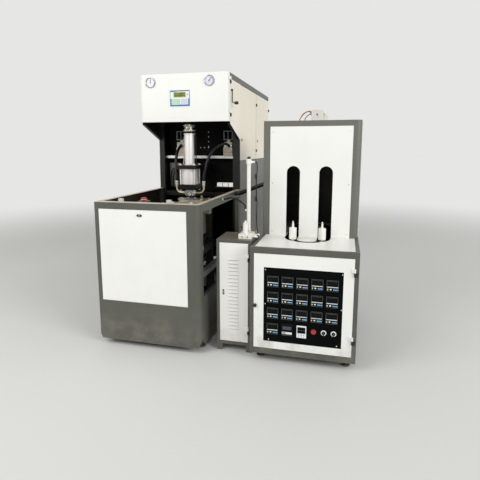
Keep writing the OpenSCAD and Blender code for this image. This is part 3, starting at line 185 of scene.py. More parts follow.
def powder_coat(name, shade, deep, rough=0.42, dust=0.35, dusty="#8c8577", worn="#b5b1a4", wear=0.35, peel=0.10,
                shine=0.5, settle=0.0, inside_shade=None, skin=None, below=None):
    """Powder-coated sheet: orange peel, faint clouds, hand smudges and dust that rises from the floor. Upward faces
    turn towards the dust shade, which stands for dust lying on top and, on the guard cover's rim, a painted highlight.
    Faces that look inwards, lie off an outer skin or stay below a height can take painted shade."""
    f = Finish(name, IOR=1.5, Specular_IOR_Level=shine)
    clouds = f.noise(1.7, 3.0)
    smudge = f.noise(9.0, 5.0, rough=0.62)
    streak = f.noise(5.0, 4.0, (3.0, 3.0, 0.55))
    grime = (1 - f.at.part("Z").rise(0.0, 0.42)) * smudge.rise(0.35, 0.75) * dust
    base = f.mix(clouds.rise(0.3, 0.7) * 0.65 + streak.rise(0.52, 0.8) * 0.35, tint(shade), tint(deep))
    base = f.mix(grime, base, tint(dusty))
    base = f.mix(f.edges() * smudge.rise(0.47, 0.62) * wear, base, tint(worn))
    # Faces that look inwards, lie off the outer skin or stay below the given height turn to a dark shade: painted
    # shade.
    if inside_shade:
        inside = f.inward()
        if skin is not None:
            x0, x1, y0, y1 = skin
            x, y = f.at.part("X"), f.at.part("Y")
            inside = (x > x0) * (x1 - x > 0.0) * (y > y0) * (y1 - y > 0.0)
        if below is not None:
            inside = below - f.at.part("Z") > 0.0
        base = f.mix(inside, base, f.mix(smudge.rise(0.35, 0.7), tint(inside_shade), tint("#2c2823")))
    # Upward faces turn towards the dust shade: dust lying on top, and on the guard cover's rim, where this is
    # strongest, a painted highlight.
    if settle:
        up = f.node("ShaderNodeNewGeometry", {}, {}, "Normal").part("Z").rise(0.75, 0.95)
        base = f.mix(up * (smudge.rise(0.25, 0.7) * 0.6 + 0.4) * settle, base, tint(dusty))
    gloss = rough + (smudge - 0.5) * 0.22 + grime * 0.5
    return f.feed(Base_Color=base, Roughness=gloss,
                  Normal=f.bump(f.noise(330.0, 2.0) + f.noise(4.0, 2.0) * 3.0, peel, 0.0006))


def bare_metal(name, shade, deep, rough=0.28, brush=(1.0, 1.0, 1.0), brushing=0.25, stain=0.3, metal=1.0, coat=0.0):
    """Worked metal: fine tool marks along one way, dull patches and a duller shade where hands don't reach."""
    f = Finish(name, Metallic=metal, Coat_Weight=coat)
    marks = f.noise(140.0, 3.0, brush, 0.6)
    patches = f.noise(14.0, 5.0, rough=0.6)
    base = f.mix(patches.rise(0.35, 0.75) * stain + marks * 0.15, tint(shade), tint(deep))
    gloss = rough + (patches - 0.45) * 0.24 + (marks - 0.5) * 0.12
    return f.feed(Base_Color=base, Roughness=gloss.most(0.04), Normal=f.bump(marks, brushing, 0.0003))


def moulded(name, shade, deep, rough=0.4, grain=520.0, depth=0.10, coat=0.0, shine=0.5):
    """Moulded plastic or rubber: fine grain, slight fading, finger marks and a painted highlight on the edge rounds.
    """
    f = Finish(name, IOR=1.46, Coat_Weight=coat, Specular_IOR_Level=shine)
    fade = f.noise(6.0, 3.0)
    marks = f.noise(38.0, 4.0, rough=0.6)
    base = f.mix(fade.rise(0.3, 0.75) * 0.7 + marks.rise(0.5, 0.8) * 0.3, tint(shade), tint(deep))
    # Edge rounds turn lighter in step with the shine: a painted highlight.
    base = f.mix(f.edges() * 0.18 * shine, base, tint("#d8d6d0"))
    return f.feed(Base_Color=base, Roughness=rough + (marks - 0.5) * 0.25,
                  Normal=f.bump(f.noise(grain, 2.0), depth, 0.0004))


def casting(name, shade, deep, rough=0.55, metal=0.3):
    """Painted or raw casting: coarse sand grain with oily patches."""
    f = Finish(name, Metallic=metal)
    sand = f.noise(190.0, 4.0, rough=0.7)
    oil = f.noise(7.0, 5.0, rough=0.6)
    base = f.mix(oil.rise(0.4, 0.7) * 0.7 + sand * 0.3, tint(shade), tint(deep))
    base = f.mix(f.edges() * oil.rise(0.4, 0.6) * 0.5, base, tint("#c9c5ba"))
    return f.feed(Base_Color=base, Roughness=rough + (oil - 0.5) * 0.4, Normal=f.bump(sand, 0.35, 0.0006))


def lit_screen(name, shade, deep, glow=0.0, coat=1.0):
    """A display or dial window behind clear plastic, a little uneven and dusty."""
    f = Finish(name, Coat_Weight=coat, Coat_Roughness=0.06, Roughness=0.45, Emission_Strength=glow)
    cloud = f.noise(30.0, 3.0)
    base = f.mix(cloud.rise(0.3, 0.7), tint(shade), tint(deep))
    return f.feed(Base_Color=base, Emission_Color=base, Roughness=0.3 + cloud * 0.25,
                  Normal=f.bump(f.noise(260.0, 2.0), 0.05, 0.0003))


# The third shade is painted shade for the faces inside hollow bodies.
DARK_GREY, DEEP_GREY, HOLLOW_SHADE = "#575850", "#4e5048", "#1a1917"
SLOT_FINISH = {
    "dark_grey_paint": powder_coat("dark grey powder coat", DARK_GREY, DEEP_GREY, 0.40, dust=0.45),
    "frame_paint": powder_coat("frame paint", "#363934", "#2c2f2b", 0.45, dust=0.5, dusty="#6d675b", wear=0.4),
    "light_paint": powder_coat("white powder coat", "#f3f3ef", "#ebebe6", 0.34, dust=0.5, worn="#cfcdc4"),
    "black_paint": powder_coat("black liner paint", "#060606", "#090909", 0.6, dust=0.1, dusty="#26231f",
                               worn="#2b2a27", shine=0.12),
    "zinc_shelf": bare_metal("zinc plated shelf", "#e0e0dc", "#bdbdb6", 0.34, (0.3, 6.0, 6.0), 0.2, 0.35),
    "valve_body": casting("valve body casting", "#cbbba6", "#a79782", 0.5, 0.05),
    "black_hose": moulded("black hose rubber", "#0b0b0c", "#121213", 0.36, 240.0, 0.2, shine=0.35),
    "polished_aluminium": bare_metal("polished aluminium", "#f5f1ef", "#e3dfdc", 0.34, (6.0, 6.0, 0.2), 0.02, 0.12,
                                     0.6),
    "olive_cap": bare_metal("olive plated cap", "#8f8d7a", "#62604e", 0.24, (6.0, 6.0, 0.3), 0.15, 0.4),
    "chrome_rod": bare_metal("hard chrome", "#f4f4f4", "#dcddde", 0.16, (6.0, 6.0, 0.3), 0.05, 0.2, 0.6),
    "black_anodised": powder_coat("black anodised plate", "#0c0c0c", "#090909", 0.35, dust=0.1, worn="#6e6e6a",
                                  wear=0.5, shine=0.3),
    "nozzle_steel": bare_metal("turned nozzle steel", "#fbfaf8", "#cfceca", 0.26, (0.3, 6.0, 6.0), 0.2, 0.3, 0.45),
    "brass_fitting": bare_metal("brass fitting", "#f8edd2", "#d8c59c", 0.32, (6.0, 6.0, 0.6), 0.12, 0.3, 0.35),
    "platen_grey": casting("platen paint", "#a39d8b", "#837d6d", 0.5, 0.1),
    "mould_metal": bare_metal("mould block metal", "#cdc8b6", "#a19a88", 0.36, (5.0, 0.3, 5.0), 0.2, 0.45, 0.5),
    "steel_bar": bare_metal("ground steel bar", "#d5d5d3", "#aeaeab", 0.18, (5.0, 0.2, 5.0), 0.1, 0.3),
    "red_plastic": moulded("red button plastic", "#d62a2c", "#b92224", 0.36),
    "white_plastic": moulded("white terminal plastic", "#e9e7e0", "#d6d3c9", 0.45),
    "hinge_black": moulded("black hinge", "#1d1d1c", "#272725", 0.4),
    "gauge_rim": bare_metal("chromed gauge rim", "#b0b1b6", "#8b8d93", 0.14, (1.0, 1.0, 1.0), 0.05, 0.2),
    "needle_black": moulded("needle black", "#222226", "#2b2b30", 0.35),
    "display_blue": moulded("display frame blue", "#5b8ac2", "#4c7ab0", 0.35),
    "lever_black": moulded("black lever", "#1d1d1c", "#2a2a28", 0.32),
    "lock_black": moulded("black lock", "#20201f", "#2c2c29", 0.35),
    "panel_black": powder_coat("black instrument panel", "#060a08", "#040706", 0.6, dust=0.1, dusty="#23211e",
                               worn="#3a3936", shine=0.05),
    "controller_plastic": moulded("controller plastic", "#0c0e0f", "#131516", 0.42, shine=0.2),
    "column_white": moulded("white column plastic", "#f1f0ea", "#e3e1d6", 0.36),
    "lamp_ceramic": moulded("lamp ceramic", "#cfcabd", "#b6b1a3", 0.5),
    "mandrel_white": moulded("white mandrel plastic", "#f3f2ed", "#e6e3da", 0.32),
}


def shaded_hollow_coat(name, shade, deep, **more):
    """The coat of a hollow body, with painted shade on the faces that look inwards."""
    return powder_coat(name, shade, deep, inside_shade=HOLLOW_SHADE, **more)


# Points inside the hollow bodies, and the places of sheets, that tell a face outside from one inside, so that the
# inside faces get painted shade
MIDDLE_OF = {"guard_cover": (407, 620, 620), "dark_panels": (407, 1860, 900), "head_door": (407, 803, 1907),
             "side_cabinet": (1027, 258, 445), "heater_base": (1529, 620, 440),
             "hood_frame": (1527, 800, 1240), "hood_panels": (1527, 800, 1240)}
FAR = 9.0  # metres, past every side of the part
LEFT_SHEET, RIGHT_SHEET = spot(1.5, 0, 0).x, spot(813.5, 0, 0).x
BACK_SHEET, DOOR_SHEET, LEAF_SHEET = spot(0, 2587.5, 0).y, spot(813.6, 0, 0).x, spot(0, 124.4, 0).y
PLATEN_TOP, TABLE_UNDERSIDE = 0.99, 0.813
WHITES, WORN_WHITE, CREAM = ("#f3f3ef", "#ebebe6"), "#cfcdc4", ("#f5eedc", "#ebe3d0")
GREY = (DARK_GREY, DEEP_GREY)
NODE_FINISH = {
    # Guard cover: its rim's upward faces turn pale beige as a painted highlight, and its inside faces take painted
    # shade.
    "guard_cover": shaded_hollow_coat("guard cover coat", *GREY, dust=0.15, settle=0.95, dusty="#dccdb4"),
    "dark_panels": shaded_hollow_coat("cabinet panel coat", *GREY, dust=0.4),
    "head_door": shaded_hollow_coat("head door coat", *WHITES, dust=0.2, worn=WORN_WHITE),
    "side_cabinet": shaded_hollow_coat("air cabinet coat", *GREY, dust=0.4, settle=0.75, dusty="#7b6d5b"),
    "heater_base": shaded_hollow_coat("heater body coat", *GREY, dust=0.4),
    "hood_frame": shaded_hollow_coat("hood frame coat", "#6b6c64", "#61625a", dust=0.2),
    "hood_panels": shaded_hollow_coat("hood panel coat", *WHITES, dust=0.2),
    "cabinet_frame": powder_coat("cabinet frame paint", "#20221f", "#191b18", 0.4, dust=0.3, wear=0.3, shine=0.35),
    # Air cabinet door: faces behind its front sheet take painted shade, so the louvre slots read dark.
    "side_door": powder_coat("air cabinet door coat", "#f6f5f1", "#efeee9", 0.36, dust=0.3, worn=WORN_WHITE,
                             inside_shade="#141312", skin=(-FAR, FAR, LEAF_SHEET, FAR)),
    # Cream side plates: faces off their outer skin take painted shade.
    "light_panels": powder_coat("cream panel coat", "#f8f2e2", "#efe8d5", 0.38, dust=0.2, worn="#c9c5b8",
                                inside_shade="#0e0d0c", skin=(LEFT_SHEET, RIGHT_SHEET, -FAR, BACK_SHEET)),
    # Heater table: everything below the table plate takes painted shade, so the slots read dark.
    "heater_table": powder_coat("heater table coat", "#f6f5f1", "#edebe6", 0.36, dust=0.2, settle=0.1,
                                dusty="#b9b3a5", inside_shade="#26231f", below=TABLE_UNDERSIDE),
}
# Platens: everything below their tops takes painted shade.
for platens in ("fixed_platens", "moving_platen"):
    NODE_FINISH[platens] = powder_coat(platens.replace("_", " ") + " coat", "#a39d8b", "#837d6d", 0.55,
                                       inside_shade="#1c1a17", below=PLATEN_TOP)
# Side doors: faces behind their outer sheet take painted shade.
for door, shades in (("upper_door_front", CREAM), ("upper_door_rear", CREAM), ("lower_door_front", GREY),
                     ("lower_door_rear", GREY)):
    NODE_FINISH[door] = powder_coat(door.replace("_", " ") + " coat", *shades, 0.38, inside_shade="#141312",
                                    skin=(-FAR, DOOR_SHEET, -FAR, FAR))


# Making pieces

SHARP = 38.0  # degrees between faces past which an edge stays sharp
EDGE = 0.8  # millimetres of round that dressing gives an edge


def mesh_object(name, mesh, materials):
    for m in materials:
        mesh.materials.append(m)
    made = bpy.data.objects.new(name, mesh)
    bpy.context.scene.collection.objects.link(made)
    return made


def as_mesh(obj, modifier):
    """Keeps what a modifier makes as the object's plain mesh, and takes the modifier off."""
    bpy.context.view_layer.update()
    old = obj.data
    obj.data = bpy.data.meshes.new_from_object(obj.evaluated_get(bpy.context.evaluated_depsgraph_get()))
    obj.modifiers.remove(modifier)
    bpy.data.meshes.remove(old)
    return obj


def even_normals(obj):
    """Smooth shading that keeps flat faces flat: sharp edges by angle, normals weighted by face."""
    obj.data.shade_smooth()
    obj.data.set_sharp_from_angle(angle=math.radians(SHARP))
    worked = obj.modifiers.new("weigh", "WEIGHTED_NORMAL")
    worked.keep_sharp = True
    worked.weight = 60
    return as_mesh(obj, worked)


def hang(obj, body, nodes=()):
    """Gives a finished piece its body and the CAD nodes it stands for."""
    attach(obj, body)
    if nodes:
        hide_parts(*nodes)
    return obj


def dress(node):
    """A copy of a CAD node with its sharp edges rounded and the rounds marked for wear and for a painted edge
    highlight.
    """
    source = frame["nodes"][node]
    bm = bmesh.new()
    bm.from_mesh(source.data)
    bmesh.ops.remove_doubles(bm, verts=bm.verts, dist=2e-6)
    bmesh.ops.dissolve_limit(bm, angle_limit=math.radians(0.5), verts=bm.verts, edges=bm.edges,
                             delimit={"NORMAL"})
    mark = bm.faces.layers.float.new("edge")
    sharp = [e for e in bm.edges if e.is_manifold and e.calc_face_angle(0) > math.radians(35)]
    cut = bmesh.ops.bevel(bm, geom=sharp, offset=EDGE * MM, offset_type="OFFSET", segments=2, profile=0.5,
                          affect="EDGES", clamp_overlap=True)
    for face in cut["faces"]:
        face[mark] = 1.0
    if node in MIDDLE_OF:
        inward, middle = bm.faces.layers.float.new("inward"), spot(*MIDDLE_OF[node])
        bm.normal_update()
        for face in bm.faces:
            face[inward] = float(face.normal.dot(face.calc_center_median() - middle) < 0)
    mesh = bpy.data.meshes.new(node + "_dressed")
    bm.to_mesh(mesh)
    bm.free()
    piece = mesh_object(node + "_dressed", mesh, [NODE_FINISH.get(node) or SLOT_FINISH[SLOT_OF[node]]])
    return hang(even_normals(piece), BODY_OF[node], (node,))


class Form:
    """A piece in the making, in millimetres from the moulder's corner, each part with its own finish."""

    def __init__(self, name):
        self.name, self.bm, self.finishes = name, bmesh.new(), []

    def add(self, part, finish):
        if finish not in self.finishes:
            self.finishes.append(finish)
        for face in part.faces:
            face.material_index = self.finishes.index(finish)
        scratch = bpy.data.meshes.new("scratch")
        part.to_mesh(scratch)
        part.free()
        self.bm.from_mesh(scratch)
        bpy.data.meshes.remove(scratch)
        return self

    def block(self, a, b, finish, round=0.0, steps=2):
        part = bmesh.new()
        bmesh.ops.create_cube(part, size=1.0)
        lo, hi = spot(*a), spot(*b)
        for v in part.verts:
            v.co = Vector([lo[i] + (v.co[i] + 0.5) * (hi[i] - lo[i]) for i in range(3)])
        if round:
            bmesh.ops.bevel(part, geom=part.edges[:], offset=round * MM, offset_type="OFFSET", segments=steps,
                            profile=0.5, affect="EDGES", clamp_overlap=True)
        return self.add(part, finish)

    def turned(self, at, along, profile, finish, n=36, phase=0.0):
        """A shape turned round an axis from (radius, height) points; a ring where no end meets the axis."""
        part = bmesh.new()
        turn = Vector(along).to_track_quat("Z", "Y").to_matrix()
        base, rings = spot(*at), []
        for r, h in profile:
            angles = [phase + 2 * math.pi * k / n for k in range(n if r else 1)]
            rings.append([part.verts.new(base + turn @ Vector((r * math.cos(t), r * math.sin(t), h)) * MM)
                          for t in angles])
        if profile[0][0] and profile[-1][0]:
            rings.append(rings[0])
        for a, b in zip(rings, rings[1:]):
            for k in range(n):
                quad = [a[k % len(a)], a[(k + 1) % len(a)], b[(k + 1) % len(b)], b[k % len(b)]]
                quad = list(dict.fromkeys(quad))
                if len(quad) > 2:
                    part.faces.new(quad)
        bmesh.ops.recalc_face_normals(part, faces=part.faces[:])
        return self.add(part, finish)

    def blocks(self, at, rows):
        """Blocks by both corners' steps off one point, each with its finish and the round of its edges."""
        for row in rows:
            self.block(*run(at, (row[:3], row[3:6])), *row[6:])
        return self

    def rod(self, at, along, d, length, finish, n=32, chamfer=0.8):
        r, c = d / 2, min(chamfer, d / 5, length / 3)
        return self.turned(at, along, [(0, 0), (r - c, 0), (r, c), (r, length - c), (r - c, length), (0, length)],
                           finish, n)

    def hexagon(self, at, along, across, height, finish, phase=0.3):
        r = across * 0.577
        return self.turned(at, along, [(0, 0), (r - 0.8, 0), (r, 0.8), (r, height - 0.8), (r - 0.8, height),
                                       (0, height)], finish, 6, phase)

    def tube(self, path, d, finish, n=14):
        part = bmesh.new()
        points = [spot(*p) for p in path]
        rings, side = [], None
        for i, p in enumerate(points):
            way = (points[min(i + 1, len(points) - 1)] - points[max(i - 1, 0)]).normalized()
            side = way.orthogonal() if side is None else side - side.dot(way) * way
            side.normalize()
            up = way.cross(side)
            rings.append([part.verts.new(p + (math.cos(t) * side + math.sin(t) * up) * d * MM / 2)
                          for t in [2 * math.pi * k / n for k in range(n)]])
        for a, b in zip(rings, rings[1:]):
            for k in range(n):
                part.faces.new((a[k], a[(k + 1) % n], b[(k + 1) % n], b[k]))
        part.faces.new(rings[0][::-1])
        part.faces.new(rings[-1])
        bmesh.ops.recalc_face_normals(part, faces=part.faces[:])
        return self.add(part, finish)

    def frame(self, a, b, bar, finish, round=0.0):
        """Four bars round an upright opening, between corners a and b."""
        (x0, y0, z0), (x1, y1, z1) = a, b
        for p, q in (((x0, y0, z0), (x1, y1, z0 + bar)), ((x0, y0, z1 - bar), (x1, y1, z1)),
                     ((x0, y0, z0 + bar), (x0 + bar, y1, z1 - bar)), ((x1 - bar, y0, z0 + bar), (x1, y1, z1 - bar))):
            self.block(p, q, finish, round)
        return self

    def piece(self):
        mesh = bpy.data.meshes.new(self.name)
        self.bm.to_mesh(mesh)
        self.bm.free()
        return even_normals(mesh_object(self.name, mesh, self.finishes))

    def done(self, body, nodes=()):
        return hang(self.piece(), body, nodes)


def curve(points, k):
    """A smooth line through points, k steps from each to the next."""
    p = [Vector(q) for q in points]
    line = []
    for i in range(len(p) - 1):
        a, b, c, d = p[max(i - 1, 0)], p[i], p[i + 1], p[min(i + 2, len(p) - 1)]
        for s in range(k):
            u = s / k
            line.append(0.5 * (2 * b + (c - a) * u + (2 * a - 5 * b + 4 * c - d) * u * u
                               + (3 * b - a - 3 * c + d) * u ** 3))
    return line + [p[-1]]


# Repeated parts, grown by geometry trees

class Growth(Graph):
    """A geometry tree with named sizes that ends as plain mesh with its finish."""

    def __init__(self, name, sizes):
        super().__init__(bpy.data.node_groups.new(name, "GeometryNodeTree"))
        sides = self.tree.interface
        sides.new_socket("Geometry", in_out="INPUT", socket_type="NodeSocketGeometry")
        self.keys, self.whole = {}, {label for label, value in sizes.items() if isinstance(value, int)}
        for label, value in sizes.items():
            kind = "NodeSocketInt" if label in self.whole else "NodeSocketFloat"
            made = sides.new_socket(label, in_out="INPUT", socket_type=kind)
            made.default_value = value
            self.keys[label] = made.identifier
        sides.new_socket("Geometry", in_out="OUTPUT", socket_type="NodeSocketGeometry")
        self.given = self.node("NodeGroupInput")

    def size(self, label):
        return Sock(self, self.given.out.node.outputs[label])

    def box(self, x, y, z):
        size = self.node("ShaderNodeCombineXYZ", {}, {"X": x, "Y": y, "Z": z})
        return self.node("GeometryNodeMeshCube", {}, {"Size": size})

    def turned(self, shape, rotation):
        return self.node("GeometryNodeTransform", {}, {"Geometry": shape, "Rotation": rotation})

    def on(self, points, shape, rotation=None):
        sockets = {"Points": points, "Instance": shape}
        if rotation:
            sockets["Rotation"] = rotation
        return self.node("GeometryNodeInstanceOnPoints", {}, sockets)

    def along(self, shape, axis):
        """The shape once a pitch along the given lines, with one of its axes on the line."""
        line = self.node("GeometryNodeMeshToCurve", {}, {"Mesh": self.given})
        line = self.node("GeometryNodeResampleCurve", {"mode": "LENGTH"},
                         {"Curve": line, "Length": self.size("Pitch")})
        return self.on(line, shape, self.tangent(axis))

    def tangent(self, axis):
        return self.node("FunctionNodeAlignRotationToVector", {"axis": axis},
                         {"Vector": self.node("GeometryNodeInputTangent")})

    def end(self, shape, finish):
        real = self.node("GeometryNodeRealizeInstances", {}, {"Geometry": shape})
        coated = self.node("GeometryNodeSetMaterial", {}, {"Geometry": real, "Material": finish})
        self.tree.links.new(coated.out, self.tree.nodes.new("NodeGroupOutput").inputs[0])
        return self

    def grow(self, name, points, sizes, body, slot, way=None, joined=False):
        """Grows the tree as a plain mesh on points, or on the line that joins them. The sizes come in the order of
        the tree's labels, and way is one direction for all points or a list with one for each."""
        carrier = bpy.data.meshes.new(name)
        lines = [(i, i + 1) for i in range(len(points) - 1)] if joined else []
        carrier.from_pydata([spot(*p) for p in points], lines, [])
        if way:
            held = carrier.attributes.new("way", "FLOAT_VECTOR", "POINT")
            for i, one in enumerate(way if isinstance(way, list) else [way] * len(points)):
                held.data[i].vector = one
        obj = mesh_object(name, carrier, [])
        worked = obj.modifiers.new("growth", "NODES")
        worked.node_group = self.tree
        for (label, key), value in zip(self.keys.items(), sizes):
            worked[key] = value if label in self.whole else value * MM
        return hang(even_normals(as_mesh(obj, worked)), body, ())


def screw_tree(name, finish, sides):
    """Screw or nut heads on points, each turned to its own way: a shank, and a low dome or a flat top."""
    g = Growth(name, {"Head diameter": 0.008, "Head height": 0.003})
    r, h = g.size("Head diameter") * 0.5, g.size("Head height")
    head = g.node("GeometryNodeMeshCylinder", {}, {"Vertices": sides, "Radius": r, "Depth": h})
    dome = g.node("GeometryNodeMeshUVSphere", {}, {"Segments": 12, "Rings": 6, "Radius": r * 0.86})
    size = g.node("ShaderNodeCombineXYZ", {}, {"X": 1.0, "Y": 1.0, "Z": 0.55})
    dome = g.node("GeometryNodeTransform", {}, {"Geometry": dome, "Scale": size})
    both = g.node("GeometryNodeJoinGeometry", {}, {"Geometry": [head, dome]})
    way = g.node("GeometryNodeInputNamedAttribute", {"data_type": "FLOAT_VECTOR"}, {"Name": "way"})
    turn = g.node("FunctionNodeAlignRotationToVector", {"axis": "Z"}, {"Vector": way})
    return g.end(g.on(g.given, both, turn), finish)


def rows_tree(name, finish):
    """Rows and columns of small blocks on an upright face, centred on each point."""
    g = Growth(name, {"Columns": 3, "Rows": 3, "Pitch across": 0.02, "Pitch up": 0.012, "Width": 0.015,
                      "Depth": 0.002, "Height": 0.008})
    grid = g.node("GeometryNodeMeshGrid", {}, {
        "Size X": (g.size("Columns") - 1) * g.size("Pitch across"), "Vertices X": g.size("Columns"),
        "Size Y": (g.size("Rows") - 1) * g.size("Pitch up"), "Vertices Y": g.size("Rows")})
    keys = g.on(g.turned(grid, (math.pi / 2, 0.0, 0.0)), g.box(g.size("Width"), g.size("Depth"), g.size("Height")))
    return g.end(g.on(g.given, keys), finish)


def dial_tree(name, finish):
    """Scale marks round three quarters of a dial that faces the front."""
    g = Growth(name, {"Marks": 11, "Radius": 0.033, "Length": 0.006, "Width": 0.0014, "Depth": 0.0004})
    arc = g.node("GeometryNodeCurveArc", {"mode": "RADIUS"}, {
        "Resolution": g.size("Marks"), "Radius": g.size("Radius"), "Start Angle": math.radians(-45.0),
        "Sweep Angle": math.radians(270.0)})
    marks = g.on(arc, g.box(g.size("Length"), g.size("Width"), g.size("Depth")), g.tangent("Y"))
    return g.end(g.on(g.given, g.turned(marks, (math.pi / 2, 0.0, 0.0))), finish)


def chain_tree(name, finish):
    """Rollers and side plates along a line, one pitch apart."""
    g = Growth(name, {"Pitch": 0.019, "Roller": 0.012, "Height": 0.01, "Plate": 0.003})
    roller = g.node("GeometryNodeMeshCylinder", {}, {"Vertices": 12, "Radius": g.size("Roller") * 0.5,
                                                     "Depth": g.size("Height")})
    plate = g.box(g.size("Pitch") * 0.92, g.size("Roller") * 0.75, g.size("Plate"))
    lift = g.node("ShaderNodeCombineXYZ", {}, {"Z": g.size("Height") * 0.5 + g.size("Plate") * 0.5})
    plate = g.node("GeometryNodeTransform", {}, {"Geometry": plate, "Translation": lift})
    link = g.node("GeometryNodeJoinGeometry", {}, {"Geometry": [roller, plate]})
    return g.end(g.along(link, "X"), finish)


def wrap_tree(name, finish):
    """Bands round a line of cable, one pitch apart, a little proud of it."""
    g = Growth(name, {"Pitch": 0.012, "Diameter": 0.037, "Width": 0.007})
    band = g.node("GeometryNodeMeshCylinder", {}, {"Vertices": 20, "Radius": g.size("Diameter") * 0.5,
                                                   "Depth": g.size("Width")})
    return g.end(g.along(band, "Z"), finish)


# Shared small finishes

CHROME = SLOT_FINISH["chrome_rod"]
STEEL = SLOT_FINISH["nozzle_steel"]
BRASS = SLOT_FINISH["brass_fitting"]
BLACK = SLOT_FINISH["lock_black"]
WHITE = SLOT_FINISH["white_plastic"]
PANEL = SLOT_FINISH["panel_black"]
CREAM_PLASTIC = moulded("cream collar plastic", "#e3d9bf", "#cfc3a4", 0.4)
AMBER_TUBE = moulded("orange motor cable", "#c9762c", "#a85f22", 0.45)
PINK_PLASTIC = moulded("faded red plastic", "#b9625a", "#9c4d46", 0.45)
GREEN_CAP = moulded("dark green cap", "#20352f", "#182822", 0.4)
COLLAR_WHITE = moulded("hose collar white", "#fffaf0", "#f3ebd9", 0.4)
CAST_PALE = casting("pale valve casting", "#e2dccf", "#bdb5a5", 0.5, 0.05)
DARK_GLASS = moulded("dark display window", "#040606", "#080b0c", 0.5, shine=0.1)
GREY_FRAME = moulded("instrument frame grey", "#3a3e3c", "#4a4e4c", 0.45)
LINE_GREY = moulded("instrument line grey", "#d9dcda", "#bfc3c1", 0.4)
COUNTER_BLUE = lit_screen("counter display", "#1c2a3a", "#26374a", 0.05)
DIAL_WHITE = lit_screen("gauge dial", "#dcdfec", "#d0d4e4")
GAUGE_MARKS = moulded("gauge marks", "#35373b", "#43464b", 0.5)
LCD_GREEN = lit_screen("display window green", "#7d8c24", "#5f6b18", 0.12)
LCD_HALO = moulded("display pale yellow", "#e4e2a0", "#d7d58c", 0.4)
LCD_DARK = moulded("display marks", "#2f3611", "#3a4217", 0.5)
KEY_GREEN = moulded("pale green keys", "#a9dcae", "#93cb9a", 0.4)
KEY_PALE = moulded("pale grey keys", "#cdd8e6", "#b8c6d8", 0.4)
KEY_BLUE = moulded("light blue keys", "#6fa6dc", "#8fbbe6", 0.4)
SIGN_BLUE = moulded("display blue field", "#3f78ba", "#336aa9", 0.4)
SIGN_WHITE = moulded("display white field", "#eef1f4", "#e0e6ec", 0.4)
YELLOW_MARK = moulded("yellow lamp", "#f0e9bd", "#e4da9c", 0.4)
CHAIN_STEEL = bare_metal("oiled chain steel", "#5c5a55", "#35332f", 0.35, (1.0, 1.0, 1.0), 0.2, 0.6)
BRACKET_GREY = powder_coat("valve bracket grey", "#959b99", "#7d8381", 0.4, dust=0.1)
LOCK_GREEN = moulded("grey green lock", "#4f5a4c", "#3f483d", 0.4)
HATCH_GREY = powder_coat("olive grey hatch", "#858a7b", "#6f7466", 0.5, dust=0.3)
# The terminal housings glow a little though they are no lamp: painted light.
TERMINAL_PAINTED_GLOW = lit_screen("terminal housing", "#ffffff", "#f4f3ee", 0.5, 0.0)
DARK_RUBBER = SLOT_FINISH["black_hose"]

SCREWS = screw_tree("screw heads", CHROME, 16)
NUTS = screw_tree("hexagon nuts", STEEL, 6)
WHITE_NUTS = screw_tree("pale caps", WHITE, 12)
GREEN_KEYS = rows_tree("pale green key field", KEY_GREEN)
PALE_KEYS = rows_tree("pale grey key field", KEY_PALE)
# Thin grey strips under the louvres stand for their shadow: painted shadow.
LOUVRE_PAINTED_SHADOWS = rows_tree("shaded gaps under louvres", moulded("louvre gap shade", "#8d8b85", "#a3a19b", 0.6))
BLUE_KEYS = rows_tree("light blue key row", KEY_BLUE)
LCD_MARKS = rows_tree("display mark rows", LCD_DARK)
PALE_DIGITS = rows_tree("controller figures", moulded("unlit figures", "#141817", "#1b201f", 0.4, shine=0.1))
DIAL_MARKS = dial_tree("dial marks", GAUGE_MARKS)
CHAIN = chain_tree("mandrel chain", CHAIN_STEEL)
WRAP = wrap_tree("cable wrap", DARK_RUBBER)
FRONT, BACK, UP, RIGHT, LEFT = (0, -1, 0), (0, 1, 0), (0, 0, 1), (1, 0, 0), (-1, 0, 0)


# Head door: gauges and operator display

def gauge_faces():
    """Both pressure gauges: chromed rim, dial, case and threaded stub, and the marks grown on the dials."""
    lo, hi = node_box("gauges")
    z, r, body = (lo.z + hi.z) / 2, (hi.z - lo.z) / 2, BODY_OF["gauges"]
    case = lo.y + 9
    f = Form("gauge_cases")
    for x in (lo.x + r, hi.x - r):
        f.turned((x, lo.y, z), BACK, [(r - 6.4, 6.4), (r - 6.4, 3.4), (r - 5.2, 1.0), (r - 3.6, 0), (r - 1.4, 0.7),
                                      (r - 0.2, 2.6), (r, 8.9), (r - 6.4, 8.9)], SLOT_FINISH["gauge_rim"], 56)
        f.rod((x, lo.y + 6, z), BACK, 2 * r - 12.6, 3.0, DIAL_WHITE, 56, 0.2)
        f.rod((x, case - 1, z), BACK, 2 * r - 8.6, 30, BLACK, 48)
        f.rod((x, case + 28.5, z), BACK, 20, 19, BRASS, 24)
        f.hexagon((x, case + 34, z), BACK, 22, 9, BRASS)
    f.done(body, ("gauges",))
    dials = [(lo.x + r, lo.y + 5.9, z), (hi.x - r, lo.y + 5.9, z)]
    DIAL_MARKS.grow("gauge_long_marks", dials, (11, 31, 8, 1.5, 0.5), body, "needle_black")
    DIAL_MARKS.grow("gauge_short_marks", dials, (51, 33.4, 3.2, 0.7, 0.4), body, "needle_black")


